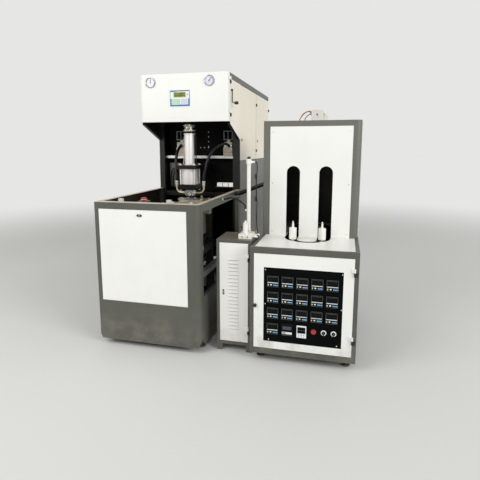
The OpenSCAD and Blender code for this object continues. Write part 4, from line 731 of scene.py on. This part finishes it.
def display_face():
    """The operator display: housing, white and blue fields, lit window with its marks, two fields of keys."""
    lo, hi = node_box("operator_display")
    body, y, w, h = BODY_OF["operator_display"], lo.y, hi.x - lo.x, hi.z - lo.z
    f = Form("display_housing")
    f.block(lo, (hi.x, y + 4, hi.z), SLOT_FINISH["display_blue"], 1.6, 3)
    f.blocks(lo, [(9, 3.5, 9, w - 9, 42, h - 9, BLACK, 1.0), (4, -0.6, 4, w - 4, 1, h - 4, SIGN_WHITE, 0.3),
                  (4, -1.0, h - 14, 64, 0, h - 4, SIGN_BLUE, 0.2), (64, -0.9, h - 9, w - 4, 0, h - 4, GREY_FRAME, 0.2),
                  (4, -1.0, 4, w - 4, 0, 13, SIGN_BLUE, 0.2), (4, -1.0, 13, 14, 0, 62, SIGN_BLUE, 0.2),
                  (w - 13, -1.0, 13, w - 4, 0, 62, SIGN_BLUE, 0.2),
                  (28, -1.1, h - 62, w - 30, 0, h - 12, LCD_HALO, 0.4),
                  (36, -1.6, h - 57, w - 36, -0.4, h - 17, LCD_GREEN, 0.4),
                  (w - 25, -1.3, h - 40, w - 14, 0, h - 34, PINK_PLASTIC, 0.3)])
    f.done(body, ("operator_display",))
    LCD_MARKS.grow("display_figures", [(lo.x + w / 2, y - 1.7, hi.z - 37)], (12, 2, 7.6, 15, 5, 0.5, 9), body,
                   "display_blue")
    GREEN_KEYS.grow("display_keys_green", [(lo.x + 55, y - 1.2, lo.z + 39)], (4, 3, 19, 14.5, 16, 1.6, 11), body,
                    "display_blue")
    PALE_KEYS.grow("display_keys_pale", [(hi.x - 47, y - 1.2, lo.z + 39)], (3, 3, 20, 14.5, 16.5, 1.6, 11), body,
                   "display_blue")


# Heater door: sixteen controllers, counter, breaker and switches

def instruments():
    """Sixteen controllers, the counter and the breaker, the rings of button and selectors, the panel's screws."""
    lo, hi = node_box("controllers")
    body, y, half, pitch_x, pitch_z = BODY_OF["controllers"], lo.y, 39.5, 99, 112.5
    panel = y + 7
    cells = [(lo.x + half + pitch_x * c, hi.z - half - pitch_z * r) for r in range(4) for c in range(5)
             if r < 3 or c < 1]
    plastic = SLOT_FINISH["controller_plastic"]
    f = Form("controller_cases")
    for x, z in cells:
        f.blocks((x, y, z), [(-half, 1.4, -half, half, 7, half, plastic, 1.4)])
        f.frame((x - half + 1, y, z - half + 1), (x + half - 1, y + 2.4, z + half - 1), 3.2, GREY_FRAME, 0.5)
        f.blocks((x, y, z), [
            (-34, 0.7, -4, 34, 2.2, 34, DARK_GLASS, 0.4), (-30, 0.3, 29, 30, 1.6, 32, GREY_FRAME, 0.3),
            (-36, -0.2, -11, 36, 2, -5.5, LINE_GREY, 0.5), (-35, 0.8, -35, 35, 2.2, -11, DARK_GLASS, 0.4),
            (-34, 0.1, -30, -28, 1.8, -19, LINE_GREY, 0.5), (-18, 0, -28, -7, 1.6, -19, YELLOW_MARK, 0.6),
            (-22, -0.1, -38.5, 30, 1.6, -36.5, GREY_FRAME, 0.4), (-34, 4, -34, 34, 67, 34, plastic, 1.0)])
    f.done(body, ("controllers",))
    BLUE_KEYS.grow("controller_keys", [(x + 19, y + 0.4, z - 25) for x, z in cells], (3, 1, 11, 9.5, 9, 1.8, 8.5),
                   body, "controller_plastic")
    PALE_DIGITS.grow("controller_digits", [(x, y + 0.5, z + 14) for x, z in cells], (4, 1, 15, 1, 8.5, 0.5, 15),
                     body, "controller_plastic")

    last_x, last_z = cells[-1]
    counter, breaker = (last_x + 101, y, last_z + 1), (last_x + 199, y, last_z - 3)
    g = Form("counter_and_breaker")
    g.blocks(counter, [(-38.5, 0.8, -42.5, 38.5, 7, 42.5, plastic, 1.4), (-34, 0, -8, 34, 2.4, 36, DARK_GLASS, 0.6),
                       (-30, -0.5, 2, 30, 1, 26, COUNTER_BLUE, 0.5), (-34, 0, -30, 34, 2.4, -15, SIGN_WHITE, 0.5),
                       (-30, -0.3, -27, -8, 1, -18, PINK_PLASTIC, 0.5),
                       (-34, 0.4, -40, 34, 2.4, -35, GREY_FRAME, 0.4),
                       (-34, 4, -34, 34, 67, 34, plastic, 1.0)])
    g.blocks(breaker, [(-33, 0.6, -43.5, 33, 7, 43.5, SIGN_WHITE, 3.0, 3),
                       (-27, -0.6, -10, 27, 3, 34, DARK_GLASS, 1.0), (-29, 4, -37, 29, 67, 37, plastic, 1.0)])
    for dx, tone in ((-17, BLACK), (0, BLACK), (17, PINK_PLASTIC)):
        toggle, mark, dot = run(breaker, ((dx, 0, 0), (dx, -0.4, -22), (dx, -0.2, -34)))
        g.blocks(toggle, [(-7, -3.0, -5, 7, 1, 29, DARK_GLASS, 1.2), (-5, -7.0, 10, 5, -2, 16, GREY_FRAME, 1.2)])
        g.rod(mark, BACK, 7, 3, tone, 16)
        g.rod(dot, BACK, 5, 3, GREY_FRAME, 16)
    g.done(body, ())

    h = Form("switch_rings")
    for node, ring, big, bore in (("push_button", PINK_PLASTIC, 17.5, 13.6),
                                  ("selector_left", SIGN_WHITE, 18.5, 12.2),
                                  ("selector_right", SIGN_WHITE, 18.5, 12.2)):
        x, _, z = centre(node)
        h.turned((x, panel - 0.2, z), FRONT, [(big, 0), (big, 3.0), (big - 1.4, 4.6), (bore, 4.6), (bore, 0)],
                 ring, 40)
    for x, z in ((1302, 170), (1276, 425), (1763, 172), (1786, 427), (1276, 668), (1786, 668)):
        h.rod((x, panel + 0.2, z), FRONT, 8, 2.0, LINE_GREY, 16)
    h.done(body, ())


def selector_knobs():
    """Both selectors with their grips and pointers, and the start button's cap."""
    for node in ("selector_left", "selector_right"):
        front, (x, _, z) = node_box(node)[0].y, centre(node)
        f = Form(node + "_knob")
        f.turned((x, front + 20, z), FRONT, [(0, 0), (11, 0), (11, 5), (10.2, 11.2), (9.4, 12), (0, 12)], PANEL, 36)
        f.blocks((x, front, z), [(-3.5, 0, -11, 3.5, 9, 11, PANEL, 1.2), (-0.8, -0.2, 2, 0.8, 1, 10, SIGN_WHITE, 0.2)])
        f.rod((x, front + 19.2, z), BACK, 12, 16, STEEL, 24)
        f.done(BODY_OF[node], (node,))
    front, (x, _, z) = node_box("push_button")[0].y, centre("push_button")
    f = Form("start_button_cap")
    f.turned((x, front, z), BACK, [(0, 1.2), (8.5, 0.6), (11.6, 0), (13, 1.2), (13, 8), (12.4, 9), (0, 9)],
             SLOT_FINISH["red_plastic"], 40)
    f.rod((x, front + 8.5, z), BACK, 12, 25.5, STEEL, 24)
    f.done(BODY_OF["push_button"], ("push_button",))


# Blow station: cylinders, nozzle, elbows, valves and hoses

def blow_station():
    """The stretch cylinder's head and side lines, the nozzle's fittings and the brass elbows."""
    lo, hi = node_box("stretch_cap")
    x, y, r, body = (lo.x + hi.x) / 2, (lo.y + hi.y) / 2, (hi.x - lo.x) / 2, BODY_OF["stretch_cap"]
    f = Form("stretch_cylinder_head")
    f.turned((x, y, lo.z), UP, [(0, 0), (r - 3, 0), (r - 1.5, 1.5), (r - 1.5, 11), (r - 4, 13.4), (0, 13.4)],
             DARK_RUBBER, 56)
    f.turned((x, y, lo.z + 13.5), UP, [(0, 0), (r - 4, 0), (r - 0.5, 3), (r, 8), (r, 30), (r - 2, 36), (r - 2, 42),
                                       (r, 48), (r, 64), (r - 3, 69), (r - 6, 70), (r - 8, 79.5), (10, 79.5),
                                       (10, 60), (0, 60)], SLOT_FINISH["olive_cap"], 56)
    f.turned((x, y, lo.z + 20), UP, [(r + 0.6, 0), (r + 0.6, 3), (r - 2, 3.4), (r - 2, -0.4)], CHROME, 56)
    f.turned((x, y, lo.z + 52), UP, [(r - 1.6, 0), (r - 1.6, 4), (r - 4, 4), (r - 4, 0)], CHROME, 56)
    f.done(body, ("stretch_cap",))
    turns = [2 * math.pi * (k + 0.5) / 8 for k in range(8)]
    ways = [(math.cos(t), math.sin(t), 0) for t in turns for _ in range(2)]
    points = [(x + (r - 0.5) * way[0], y + (r - 0.5) * way[1], lo.z + (28, 70)[i % 2])
              for i, way in enumerate(ways)]
    SCREWS.grow("cap_screws", points, (11, 6), body, "chrome_rod", ways)

    s = Form("stretch_cylinder_side_lines")
    foot, top = (corner.z for corner in node_box("stretch_barrel"))
    s.tube([(x + 56, y + 12, foot + 2), (x + 56, y + 12, top + 6), (x + 47, y + 8, top + 16)], 9, DARK_RUBBER)
    s.tube(curve([(x - 46, y + 30, top - 2), (x - 62, y + 34, top - 40), (x - 64, y + 36, top - 150),
                  (x - 70, y + 38, foot + 40), (x - 78, y + 40, foot + 4)], 5), 11, CREAM_PLASTIC)
    for z in (foot, top - 13):
        s.turned((x, y, z), UP, [(47, 0), (50, 1.2), (50, 11), (47, 12.5)], STEEL, 56)
    s.done("machine", ())

    f = Form("nozzle_fittings")
    tip = (x, y, node_box("blow_nozzle")[0].z + 11)
    for dx, dy, height in ((-24, -24, 22), (24, -24, 18), (-24, 24, 20), (24, 24, 22), (0, -29, 26)):
        stud, collar = run(tip, ((dx, dy, -9), (dx, dy, -5)))
        f.rod(stud, UP, 13, height, CHROME, 20)
        f.hexagon(collar, UP, 18, 6, STEEL)
    f.turned((x, y, tip[2] - 10.5), UP, [(15.8, 0), (18, 1), (18, 7), (21, 8.5), (21, 10.6), (15.8, 10.6)],
             CHROME, 40)
    for side, way in ((-1, LEFT), (1, RIGHT)):
        port, nut, stub = run(tip, ((side * 34, 0, 22), (side * 22, -35, 30), (side * 22, -41, 30)))
        f.hexagon(port, way, 26, 10, STEEL)
        f.hexagon(nut, FRONT, 15, 7, STEEL)
        f.rod(stub, FRONT, 9, 9, BRASS, 20)
    f.blocks(tip, [(dx - 2.5, -38, -6, dx + 2.5, -30, 26, DARK_GLASS, 0.5) for dx in (-26, -12, 12, 26)])
    nut, stub = run(tip, ((0, -34, 12), (0, -41, 12)))
    f.hexagon(nut, FRONT, 19, 8, STEEL)
    f.rod(stub, FRONT, 11, 10, CHROME, 20)
    f.done(BODY_OF["blow_nozzle"], ())

    f = Form("brass_elbows")
    lo, hi = node_box("nozzle_elbows")
    reach, ez, top, bend = (hi.x - lo.x) / 2 - 14, lo.z + 8, hi.z, 42
    for side in (-1, 1):
        path = [(x + side * 43.5, y, ez), (x + side * 60, y, ez)]
        path += [(x + side * (reach - bend + bend * math.sin(t)), y, ez + bend - bend * math.cos(t))
                 for t in [math.pi / 2 * k / 10 for k in range(11)]]
        path += [(x + side * reach, y, ez + 64)]
        f.tube(path, 16, BRASS, 20)
        f.hexagon((x + side * 43.6, y, ez), (side, 0, 0), 21, 12, BRASS)
        f.turned((x + side * reach, y, ez + 60), UP, [(0, 0), (11, 0), (12, 2), (12, 14), (10.4, 16), (10.4, 19),
                                                      (0, 19)], CREAM_PLASTIC, 32)
        f.turned((x + side * reach, y, ez + 76), UP, [(0, 0), (12, 0), (14, 3), (14, top - ez - 80),
                                                      (0, top - ez - 76)], COLLAR_WHITE, 32)
    f.done(BODY_OF["nozzle_elbows"], ("nozzle_elbows",))


VALVE_WIDTH, VALVE_DEPTH, SEAT_HEIGHT, LEFT_SEAT, RIGHT_SEAT = 92, 70, 92, 64, 68


def valves():
    """Both blow valves: cast bodies, pilot heads, hose seats and the framed switch boxes behind them."""
    lo, hi = node_box("blow_valves")
    body, y, z, right = BODY_OF["blow_valves"], hi.y - VALVE_DEPTH, lo.z, hi.x - VALVE_WIDTH
    f = Form("blow_valve_bodies")
    for x, seat in ((lo.x, LEFT_SEAT), (right, RIGHT_SEAT)):
        f.blocks((x, y, z), [(0, 0, 0, VALVE_WIDTH, VALVE_DEPTH, 78, SLOT_FINISH["valve_body"], 3, 3),
                             (4, -2, 30, 88, 66, 34, BRACKET_GREY, 0.8), (6, 5, 77, 86, 65, 130, CAST_PALE, 4, 3)])
        f.turned((x + 46, y + 35, z + 129), UP, [(0, 0), (20, 0), (20, 4), (15, 6), (15, 20), (0, 20)], BRASS, 32)
        f.turned((x + seat, y - 16, z + SEAT_HEIGHT), BACK, [(0, 0), (15, 0), (17, 2), (17, 8), (14.5, 10), (17, 12),
                                                             (17, 22), (0, 22)], STEEL, 32)
        f.blocks((x, y, z), [(2, 14, 148, 90, 60, 234, PANEL, 1.5), (43, 10.5, 154, 48, 14, 228, BRACKET_GREY, 0.5)])
        f.frame((x + 2, y + 10, z + 148), (x + 90, y + 15, z + 234), 7, BRACKET_GREY, 0.8)
    f.done(body, ("blow_valves",))
    points = [(x + dx, y - 0.5, z + dz) for x in (lo.x, right) for dx in (9, 83) for dz in (10, 68)]
    SCREWS.grow("valve_screws", points, (9, 4), body, "chrome_rod", FRONT)


def hoses():
    """Both blow hoses, from the nozzle's elbows to the valves' seats."""
    lo, hi = node_box("nozzle_elbows")
    mid, ny, top = (lo.x + hi.x) / 2, (lo.y + hi.y) / 2, hi.z + 0.3
    v0, v1 = node_box("blow_valves")
    vy, vz, shelf = v1.y - VALVE_DEPTH, v0.z, v0.z - 25
    sx, rx, seat_z = v0.x + LEFT_SEAT, v1.x - VALVE_WIDTH + RIGHT_SEAT, vz + SEAT_HEIGHT
    left = run((mid, ny, top), [(-130, 0, 0), (-131, 2, 59.7)])
    left += run((mid, ny, shelf), [(-142, 20, -85), (-152, 48, 5), (-150, 90, 75), (-146, 145, 115)])
    left += [(sx + 13, ny + 195, shelf + 124), (sx, vy - 40, seat_z), (sx, vy - 16.3, seat_z)]
    right = run((mid, ny, top), [(130, 0, 0), (132, 2, 59.7)])
    right += run((mid, ny, shelf), [(146, 14, -75), (170, 35, 15), (208, 65, 83)])
    right += [(rx - 57, ny + 100, shelf + 123), (rx - 19, ny + 145, shelf + 137), (rx - 4, vy - 60, seat_z + 10),
              (rx, vy - 36, seat_z), (rx, vy - 16.3, seat_z)]
    for name, path in (("hose_left", left), ("hose_right", right)):
        f = Form(name + "_rubber")
        f.tube(curve(path, 8), 26, DARK_RUBBER, 20)
        for p, q in ((path[0], path[1]), (path[-1], path[-2])):
            way = (Vector(q) - Vector(p)).normalized()
            f.turned(p, way, [(12.6, 1), (14.6, 1.5), (14.6, 15), (12.6, 16)], STEEL, 24)
        piece = f.piece()
        tuple(spot(*path[-2]))
        tuple(spot(*path[1]))
        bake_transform(piece)
        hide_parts(name)


def link_lines():
    """The cable bundle and air lines between the cabinets, and the motor cables on the hood's roof."""
    gz = node_box("guard_cover")[1].z
    s0, s1 = node_box("side_cabinet")
    hood = node_box("hood_panels")[0].x
    cx, cy, sh, rim = s1.x - 14 - 50, s0.y + 138, s1.z, 815.3
    bundle = [(rim, 985, gz - 20), (855, 985, gz - 18), (915, 972, gz + 6), (985, 955, gz + 34), (1065, 942, gz + 66),
              (1125, 938, gz + 92), (hood - 14, 938, gz + 103), (hood - 0.3, 938, gz + 104)]
    air = [(rim, 560, gz - 24), (845, 560, gz - 20), (895, 530, gz - 5), (955, 460, gz - 4), (1015, 380, gz - 14),
           (1065, 310, gz - 32), (cx - 30, cy + 12, gz - 52), (cx - 16.3, cy, gz - 60)]
    drop = run((cx, cy, sh), [(46.3, 0, 544), (58, 0, 540), (60, 2, 490), (54, 4, 380), (60, 4, 250), (58, 4, 130),
                              (64, 3, 50), (68, 0, 22), (61.3, 0, 16)])
    motor = node_box("drive_box")[0]
    cables = [(8, [(-0.3, 40, 82), (-22, 40, 88), (-52, 38, 76), (-82, 36, 44), (-96, 35, 14), (-98, 35, 0.3)]),
              (7, [(-0.3, 56, 62), (-16, 56, 66), (-34, 55, 54), (-52, 54, 30), (-58, 54, 0.3)]),
              (6, [(-0.3, 24, 74), (-30, 22, 84), (-66, 22, 66), (-88, 22, 30), (-92, 22, 0.3)])]
    f = Form("lines_between_cabinets")
    f.tube(curve(bundle, 8), 35, DARK_RUBBER, 22)
    for p, w in ((bundle[0], RIGHT), (bundle[-1], LEFT)):
        f.turned(p, w, [(17, 0), (23, 0), (23, 7), (19, 9), (17, 9)], BLACK, 28)
    f.tube(curve(air, 8), 12, DARK_RUBBER, 14)
    f.turned(air[0], RIGHT, [(0, 0), (9, 0), (9, 9), (6.4, 11), (0, 11)], STEEL, 20)
    f.tube(curve(drop, 8), 7, DARK_RUBBER, 12)
    for d, steps in cables:
        path = run(motor, steps)
        f.tube(curve(path, 8), d, AMBER_TUBE, 12)
        f.turned(path[-1], UP, [(0, 0), (7, 0), (7, 6), (4.6, 8), (0, 8)], BLACK, 16)
        f.turned(path[0], LEFT, [(0, 0), (7, 0), (7, 6), (4.6, 9), (0, 9)], BLACK, 16)
    f.done("machine", ("link_lines",))
    line = curve(bundle, 8)[3:-3]
    WRAP.grow("bundle_wrap", line, (13, 36.6, 8), "machine", "black_hose", joined=True)


# Small fittings of the heater, air cabinet, bay and guard

def mandrels():
    """The trim of both mandrels: foot collar, steel ring and pointed stem."""
    for node in ("mandrel_left", "mandrel_right"):
        (x, y, _), (foot, top) = centre(node), (corner.z for corner in node_box(node))
        f = Form(node + "_trim")
        f.turned((x, y, foot - 0.2), UP, [(26.2, 0), (27.6, 0.6), (27.6, 10), (26.4, 11.5), (26.2, 11.5)],
                 CREAM_PLASTIC, 40)
        f.turned((x, y, foot + 40), UP, [(26.4, 0), (27.0, 0.5), (27.0, 3), (26.4, 3.5)], STEEL, 40)
        f.turned((x, y, top - 0.2), UP, [(0, 0), (5, 0), (5, 10), (3.4, 14), (0, 15)], STEEL, 24)
        f.done(BODY_OF[node], ())


def heater_fittings():
    """The mandrel chain under the table, the hood's screws and the fittings of the drive box."""
    middle, radius, bend, lane_end, z = 1520.5, 119.75, 390, 897, node_box("heater_table")[1].z - 29
    path = [(middle + radius * math.cos(t), bend + radius * math.sin(t), z)
            for t in [math.pi * (1 + k / 24) for k in range(25)]]
    path = [(middle - radius, lane_end, z)] + path + [(middle + radius, lane_end, z)]
    CHAIN.grow("mandrel_chain", path, (25.4, 22, 8, 3), "machine", "light_paint", joined=True)
    front = node_box("hood_panels")[0].y - 0.3
    points = [(1244, front, 1221), (1803, front, 1220)] + [(x, front, z) for z in (1600, 850) for x in (1244, 1803)]
    SCREWS.grow("hood_screws", points, (8, 3), "machine", "dark_grey_paint", FRONT)
    d0, d1 = node_box("drive_box")
    f = Form("roof_box_fittings")
    f.rod((d0.x + 45, d0.y + 0.5, d0.z + 60), FRONT, 12, 4, GREY_FRAME, 20)
    f.rod((d1.x - 22, d0.y + 40, d1.z - 42), UP, 24, 20, WHITE, 28, 3)
    f.rod((d1.x - 22, d0.y + 40, d1.z - 23), UP, 10, 8, STEEL, 20)
    f.block((d0.x - 3, d0.y - 3, d0.z), (d1.x + 3, d1.y + 3, d0.z + 4), WHITE, 1)
    f.done("machine", ())


def air_fittings():
    """Caps, nuts and knobs of the air columns and their block, painted shadows under the louvres, and two lock keys.
    """
    lo, hi = node_box("side_cabinet")
    m0, m1 = node_box("manifold_block")
    foot, top = (corner.z for corner in node_box("air_columns"))
    cx, cy, port = hi.x - 64, lo.y + 138, m0.z + 16
    f = Form("air_fittings")
    f.turned((cx, cy, top - 6), UP, [(0, 0), (15, 0), (16, 2), (16, 10), (11, 14), (11, 22), (0, 23)], GREEN_CAP, 32)
    f.rod((cx, cy, top - 40), UP, 31, 6, STEEL, 32)
    f.hexagon((cx + 16, cy, top - 22), RIGHT, 17, 8, STEEL)
    f.hexagon((cx - 15.6, cy, 1035), LEFT, 16, 9, STEEL)
    for z in (m1.z + 1, m1.z + 14):
        f.turned((cx, cy, z), UP, [(14.2, 0), (19, 0), (19, 6), (17, 9), (14.2, 9)], CREAM_PLASTIC, 32)
    f.hexagon((cx - 13, cy - 47, m1.z + 0.2), UP, 40, 10, STEEL)
    f.turned((cx - 13, cy - 47, foot + 80), UP, [(0, 0), (17, 0), (17, 10), (8, 14), (8, 26), (0, 27)], WHITE, 32)
    for y, tone in ((cy - 70, CHROME), (cy - 35, BLACK), (cy, BRASS)):
        f.rod((m1.x - 1, y, port), RIGHT, 16.4, 8, STEEL, 24)
        f.turned((m1.x + 6, y, port), RIGHT, [(0, 0), (8.4, 0), (9, 2), (9, 12), (7, 14), (0, 14)], tone, 24)
    for x in (m0.x + 26, m0.x + 66):
        f.turned((x, m0.y + 0.3, m0.z + 15), FRONT, [(5.8, 0), (9, 0), (9, 2.4), (5.8, 2.4)], STEEL, 28)
    f.done("machine", ())
    points = [(m0.x + 9, m0.y + 12, m1.z), (m1.x - 10, m0.y + 12, m1.z), (m0.x + 9, m1.y - 12, m1.z),
              (m1.x - 10, m1.y - 12, m1.z), (m0.x + 46, m0.y + 12, m1.z)]
    SCREWS.grow("manifold_screws", points, (9, 4), "machine", "column_white", UP)
    lock = (951, lo.y, 451)
    g = Form("air_lock_key")
    g.blocks(lock, [(-6.5, -4.8, -20, 6.5, -3.9, 20, LOCK_GREEN, 3), (-1.4, -6.6, -4, 1.4, -5.8, 4, BLACK, 0.2)])
    g.rod((951, lo.y - 3.8, 451), FRONT, 11, 2.4, CHROME, 24)
    g.done("air_leaf", ())
    louvres, pitch = 20, 27.3
    # Thin grey strips under the louvres: painted shadow.
    LOUVRE_PAINTED_SHADOWS.grow("louvre_painted_shadows", [(1024, lo.y - 0.1, 690 - (louvres - 1) / 2 * pitch)],
                     (1, louvres, 1, pitch, 72, 0.8, 4), "air_leaf", "light_paint")
    k = Form("cover_lock_key")
    k.rod((365, -4.2, 1007), FRONT, 11, 1.8, CHROME, 24)
    k.block((360, -6.3, 1005.8), (370, -5.7, 1008.2), BLACK, 0.2)
    k.done("front_lock", ())


def bay_fittings():
    """The working bay's terminal housings on their ledge, the hatch with its hose loops, and rows of screws."""
    s0, s1 = node_box("valve_shelf")
    b0, b1 = node_box("bay_liner")
    left, right, back = b0.x, b1.x - 11, b1.y - 2.2
    f = Form("bay_fittings")
    # Terminal housings with a painted glow.
    f.blocks((right, back, 0), [(dx, -62, 1112, dx + 53, -4, 1147, TERMINAL_PAINTED_GLOW, 2) for dx in (-170, -112, -54)])
    # A dark strip just behind the housings' fronts makes the gaps between them read dark: painted shade.
    f.blocks((right, back, 0), [(-178, -60.8, 1113, 1, -58, 1146, DARK_GLASS, 0.3),
                                (-182, -66, 1104, 2, 0, 1112, HATCH_GREY, 1)])
    f.blocks((left, back, 0), [(12, -44, 1100, 122, -38, 1338, HATCH_GREY, 1.5)])
    for d in (0, 30):
        loop = run((left, back, 0), [(30 + d, -60, 1068), (28 + d, -70, 1150), (44 + d, -72, 1250),
                                     (84 + d * 0.6, -66, 1290), (106 + d * 0.4, -60, 1230),
                                     (108 + d * 0.4, -58, 1068)])
        f.tube(curve(loop, 6), 12, DARK_RUBBER)
    f.done("machine", ())
    points = [(462, back, 1500 + 46 * k) for k in range(4)] + [(380 + 40 * k, back, 1487) for k in range(3)]
    points += [(s0.x + 20 + 96 * k, s0.y - 0.4, (s0.z + s1.z) / 2) for k in range(7)]
    SCREWS.grow("bay_screws", points, (8, 3.5), "machine", "zinc_shelf", FRONT)


def guard_fittings():
    """What shows over and through the guard: stop head, switch blocks, posts, castings, bolts and plugs."""
    x, y, _ = centre("emergency_stop")
    top = node_box("emergency_stop")[1].z
    g = Form("stop_ring")
    g.turned((x, y, top - 14.5), UP, [(11.2, 0), (24, 0), (25, 1.4), (24, 3), (11.2, 3)], YELLOW_MARK, 40)
    g.done("machine", ())
    h = Form("stop_dome")
    h.turned((x, y, top - 0.5), UP, [(0, 2.6), (9, 2.2), (15, 1.2), (18.6, 0), (0, 0)],
             SLOT_FINISH["red_plastic"], 40)
    h.done("stop_button", ())
    f = Form("clamp_bay_fittings")
    for z in (880, 935, 990):
        plunger, collar, nut, *line = run((722, 112, z), [(42, 22, 0), (30, 10, 15), (56, 22, 0), (2, 28, 0),
                                                          (-22, 38, 20), (-72, 78, 18), (-112, 138, 4)])
        f.blocks((722, 112, z), [(0, 0, -15, 42, 46, 15, BLACK, 2)])
        f.rod(plunger, RIGHT, 28, 14, CHROME, 24)
        f.rod(collar, UP, 22, 25, CHROME, 24)
        f.hexagon(nut, RIGHT, 13, 6, STEEL)
        f.tube(curve(line, 5), 9, DARK_RUBBER)
    f.rod((752, 150, 747), RIGHT, 92, 26, WHITE, 48, 5)
    f.rod((730, 150, 747), RIGHT, 34, 22, STEEL, 32)
    post, cast = SLOT_FINISH["frame_paint"], SLOT_FINISH["platen_grey"]
    f.blocks((0, 0, 0), [(700, 160, 690, 764, 172, 1040, PANEL, 2), (690, 176, 430, 730, 182, 1020, post, 1),
                         (690, 236, 430, 730, 242, 1020, post, 1), (46, 120, 900, 58, 1090, 940, post, 1),
                         (300, 1059, 560, 360, 1111, 640, cast, 3), (455, 1059, 560, 515, 1111, 640, cast, 3)])
    f.rod((455, 1082, 1005), UP, 22, 30, BRASS, 24)
    f.done("machine", ())
    p0, p1 = node_box("fixed_platens")
    points = [(p0.x + 28 + 69 * k, y, p1.z) for y in (p1.y - 25, p0.y + 20) for k in range(5)]
    NUTS.grow("platen_bolts", points, (22, 12), "machine", "steel_bar", UP)
    m0, m1 = node_box("moving_platen")
    points = [(x, m0.y + 25, m1.z) for x in (m0.x + 70, 360, 455, m1.x - 70)]
    NUTS.grow("moving_platen_bolts", points, (22, 12), "clamp_unit", "steel_bar", UP)
    for name, node in (("rear_mould_plugs", "mould_rear"), ("front_mould_plugs", "mould_front")):
        lo, hi = node_box(node)
        points = [(x, (lo.y + hi.y) / 2, hi.z) for x in (lo.x + 22, hi.x - 22)]
        WHITE_NUTS.grow(name, points, (26, 14), BODY_OF[node], "mould_metal", UP)


def door_locks():
    """The round lock of each side door, with its slot."""
    for node, z in (("upper_door_front", 1559), ("upper_door_rear", 1559), ("lower_door_front", 720),
                    ("lower_door_rear", 720)):
        lock = (817, node_box(node)[0].y + 60, z)
        f = Form(node + "_lock")
        f.turned(lock, RIGHT, [(0, 0), (13, 0), (13, 1.6), (9, 3.2), (0, 3.2)], BLACK, 32)
        f.blocks(lock, [(3, -1.2, -5, 3.6, 1.2, 5, CHROME, 0.2)])
        f.done(BODY_OF[node], ())


REMADE = {"gauges", "operator_display", "controllers", "selector_left", "selector_right", "push_button",
          "stretch_cap", "nozzle_elbows", "blow_valves", "hose_left", "hose_right", "link_lines"}
for cad_node in sorted(frame["nodes"]):
    if cad_node not in REMADE:
        dress(cad_node)
for fit in (gauge_faces, display_face, instruments, selector_knobs, blow_station, valves, hoses, link_lines,
            mandrels, heater_fittings, air_fittings, bay_fittings, guard_fittings, door_locks):
    fit()


# Floor, light and camera

MIDDLE = Vector((0.0, 0.0, 0.9))
FLOOR_RADIUS, FADE_FROM, FADE_TO = 14.0, 3.5, 9.0
SKY_LIGHT, SKY_SEEN = 0.62, 1.0
EYE, TILT_DOWN, TURN_LEFT = (1776.0, -2661.2, 1480.7), 0.1555, 0.247
SENSOR, FOCAL, SHIFT = 36.0, 31.19, -0.0552


def studio():
    """A pale round floor that fades into the background, two soft lamps, and an even sky."""
    pale = tint("#e6e6e4")
    ring = bmesh.new()
    bmesh.ops.create_circle(ring, cap_ends=True, segments=96, radius=FLOOR_RADIUS)
    mesh = bpy.data.meshes.new("floor")
    ring.to_mesh(mesh)
    ring.free()
    f = Finish("pale floor", Roughness=0.6)
    far = (f.at.part("X") ** 2 + f.at.part("Y") ** 2) ** 0.5
    f.feed(Base_Color=f.mix(f.noise(1.2, 3.0) * 0.25, tint("#dcdcda"), tint("#d2d2cf")))
    seen = f.node("ShaderNodeLightPath", {}, {}, "Is Camera Ray")
    glow = f.node("ShaderNodeEmission", {}, {"Color": pale, "Strength": 1.0})
    blend = f.node("ShaderNodeMixShader", {}, {0: seen * far.rise(FADE_FROM, FADE_TO),
                                               1: Sock(f, f.shader.outputs[0]), 2: glow})
    f.tree.links.new(blend.out, f.tree.nodes["Material Output"].inputs["Surface"])
    floor = mesh_object("floor", mesh, [f.mat])

    world = bpy.data.worlds.new("sky")
    bpy.context.scene.world = world
    world.use_nodes = True
    w = Graph(world.node_tree)
    rays = w.node("ShaderNodeLightPath", {}, {}, "Is Camera Ray")
    glossy = Sock(w, rays.out.node.outputs["Is Glossy Ray"])
    through = Sock(w, rays.out.node.outputs["Is Transmission Ray"])
    shown = rays.most(glossy).most(through)
    back = w.tree.nodes["Background"]
    back.inputs["Color"].default_value = pale
    w.tree.links.new((SKY_LIGHT + shown * (SKY_SEEN - SKY_LIGHT)).out, back.inputs["Strength"])

    for name, at, size, power in (("key lamp", (-3.2, -4.6, 4.2), 3.4, 150.0),
                                  ("fill lamp", (8.2, -5.0, 5.0), 5.0, 500.0)):
        lamp = bpy.data.lights.new(name, "AREA")
        lamp.energy, lamp.size = power, size
        holder = bpy.data.objects.new(name, lamp)
        bpy.context.scene.collection.objects.link(holder)
        way = MIDDLE - Vector(at)
        holder.matrix_world = Matrix.Translation(at) @ way.to_track_quat("-Z", "Y").to_matrix().to_4x4()


def photo_camera():
    """The photograph's view: eye 1.48 m up, turned a little to the left and down."""
    data = bpy.data.cameras.new("photo view")
    data.sensor_width, data.lens, data.shift_y = SENSOR, FOCAL, SHIFT
    data.clip_start, data.clip_end = 0.05, 60.0
    eye = bpy.data.objects.new("photo view", data)
    bpy.context.scene.collection.objects.link(eye)
    eye.location = spot(*EYE)
    eye.rotation_euler = (math.pi / 2 - TILT_DOWN, 0.0, TURN_LEFT)
    bpy.context.scene.camera = eye


studio()
photo_camera()
bpy.context.scene.view_settings.view_transform = "Standard"
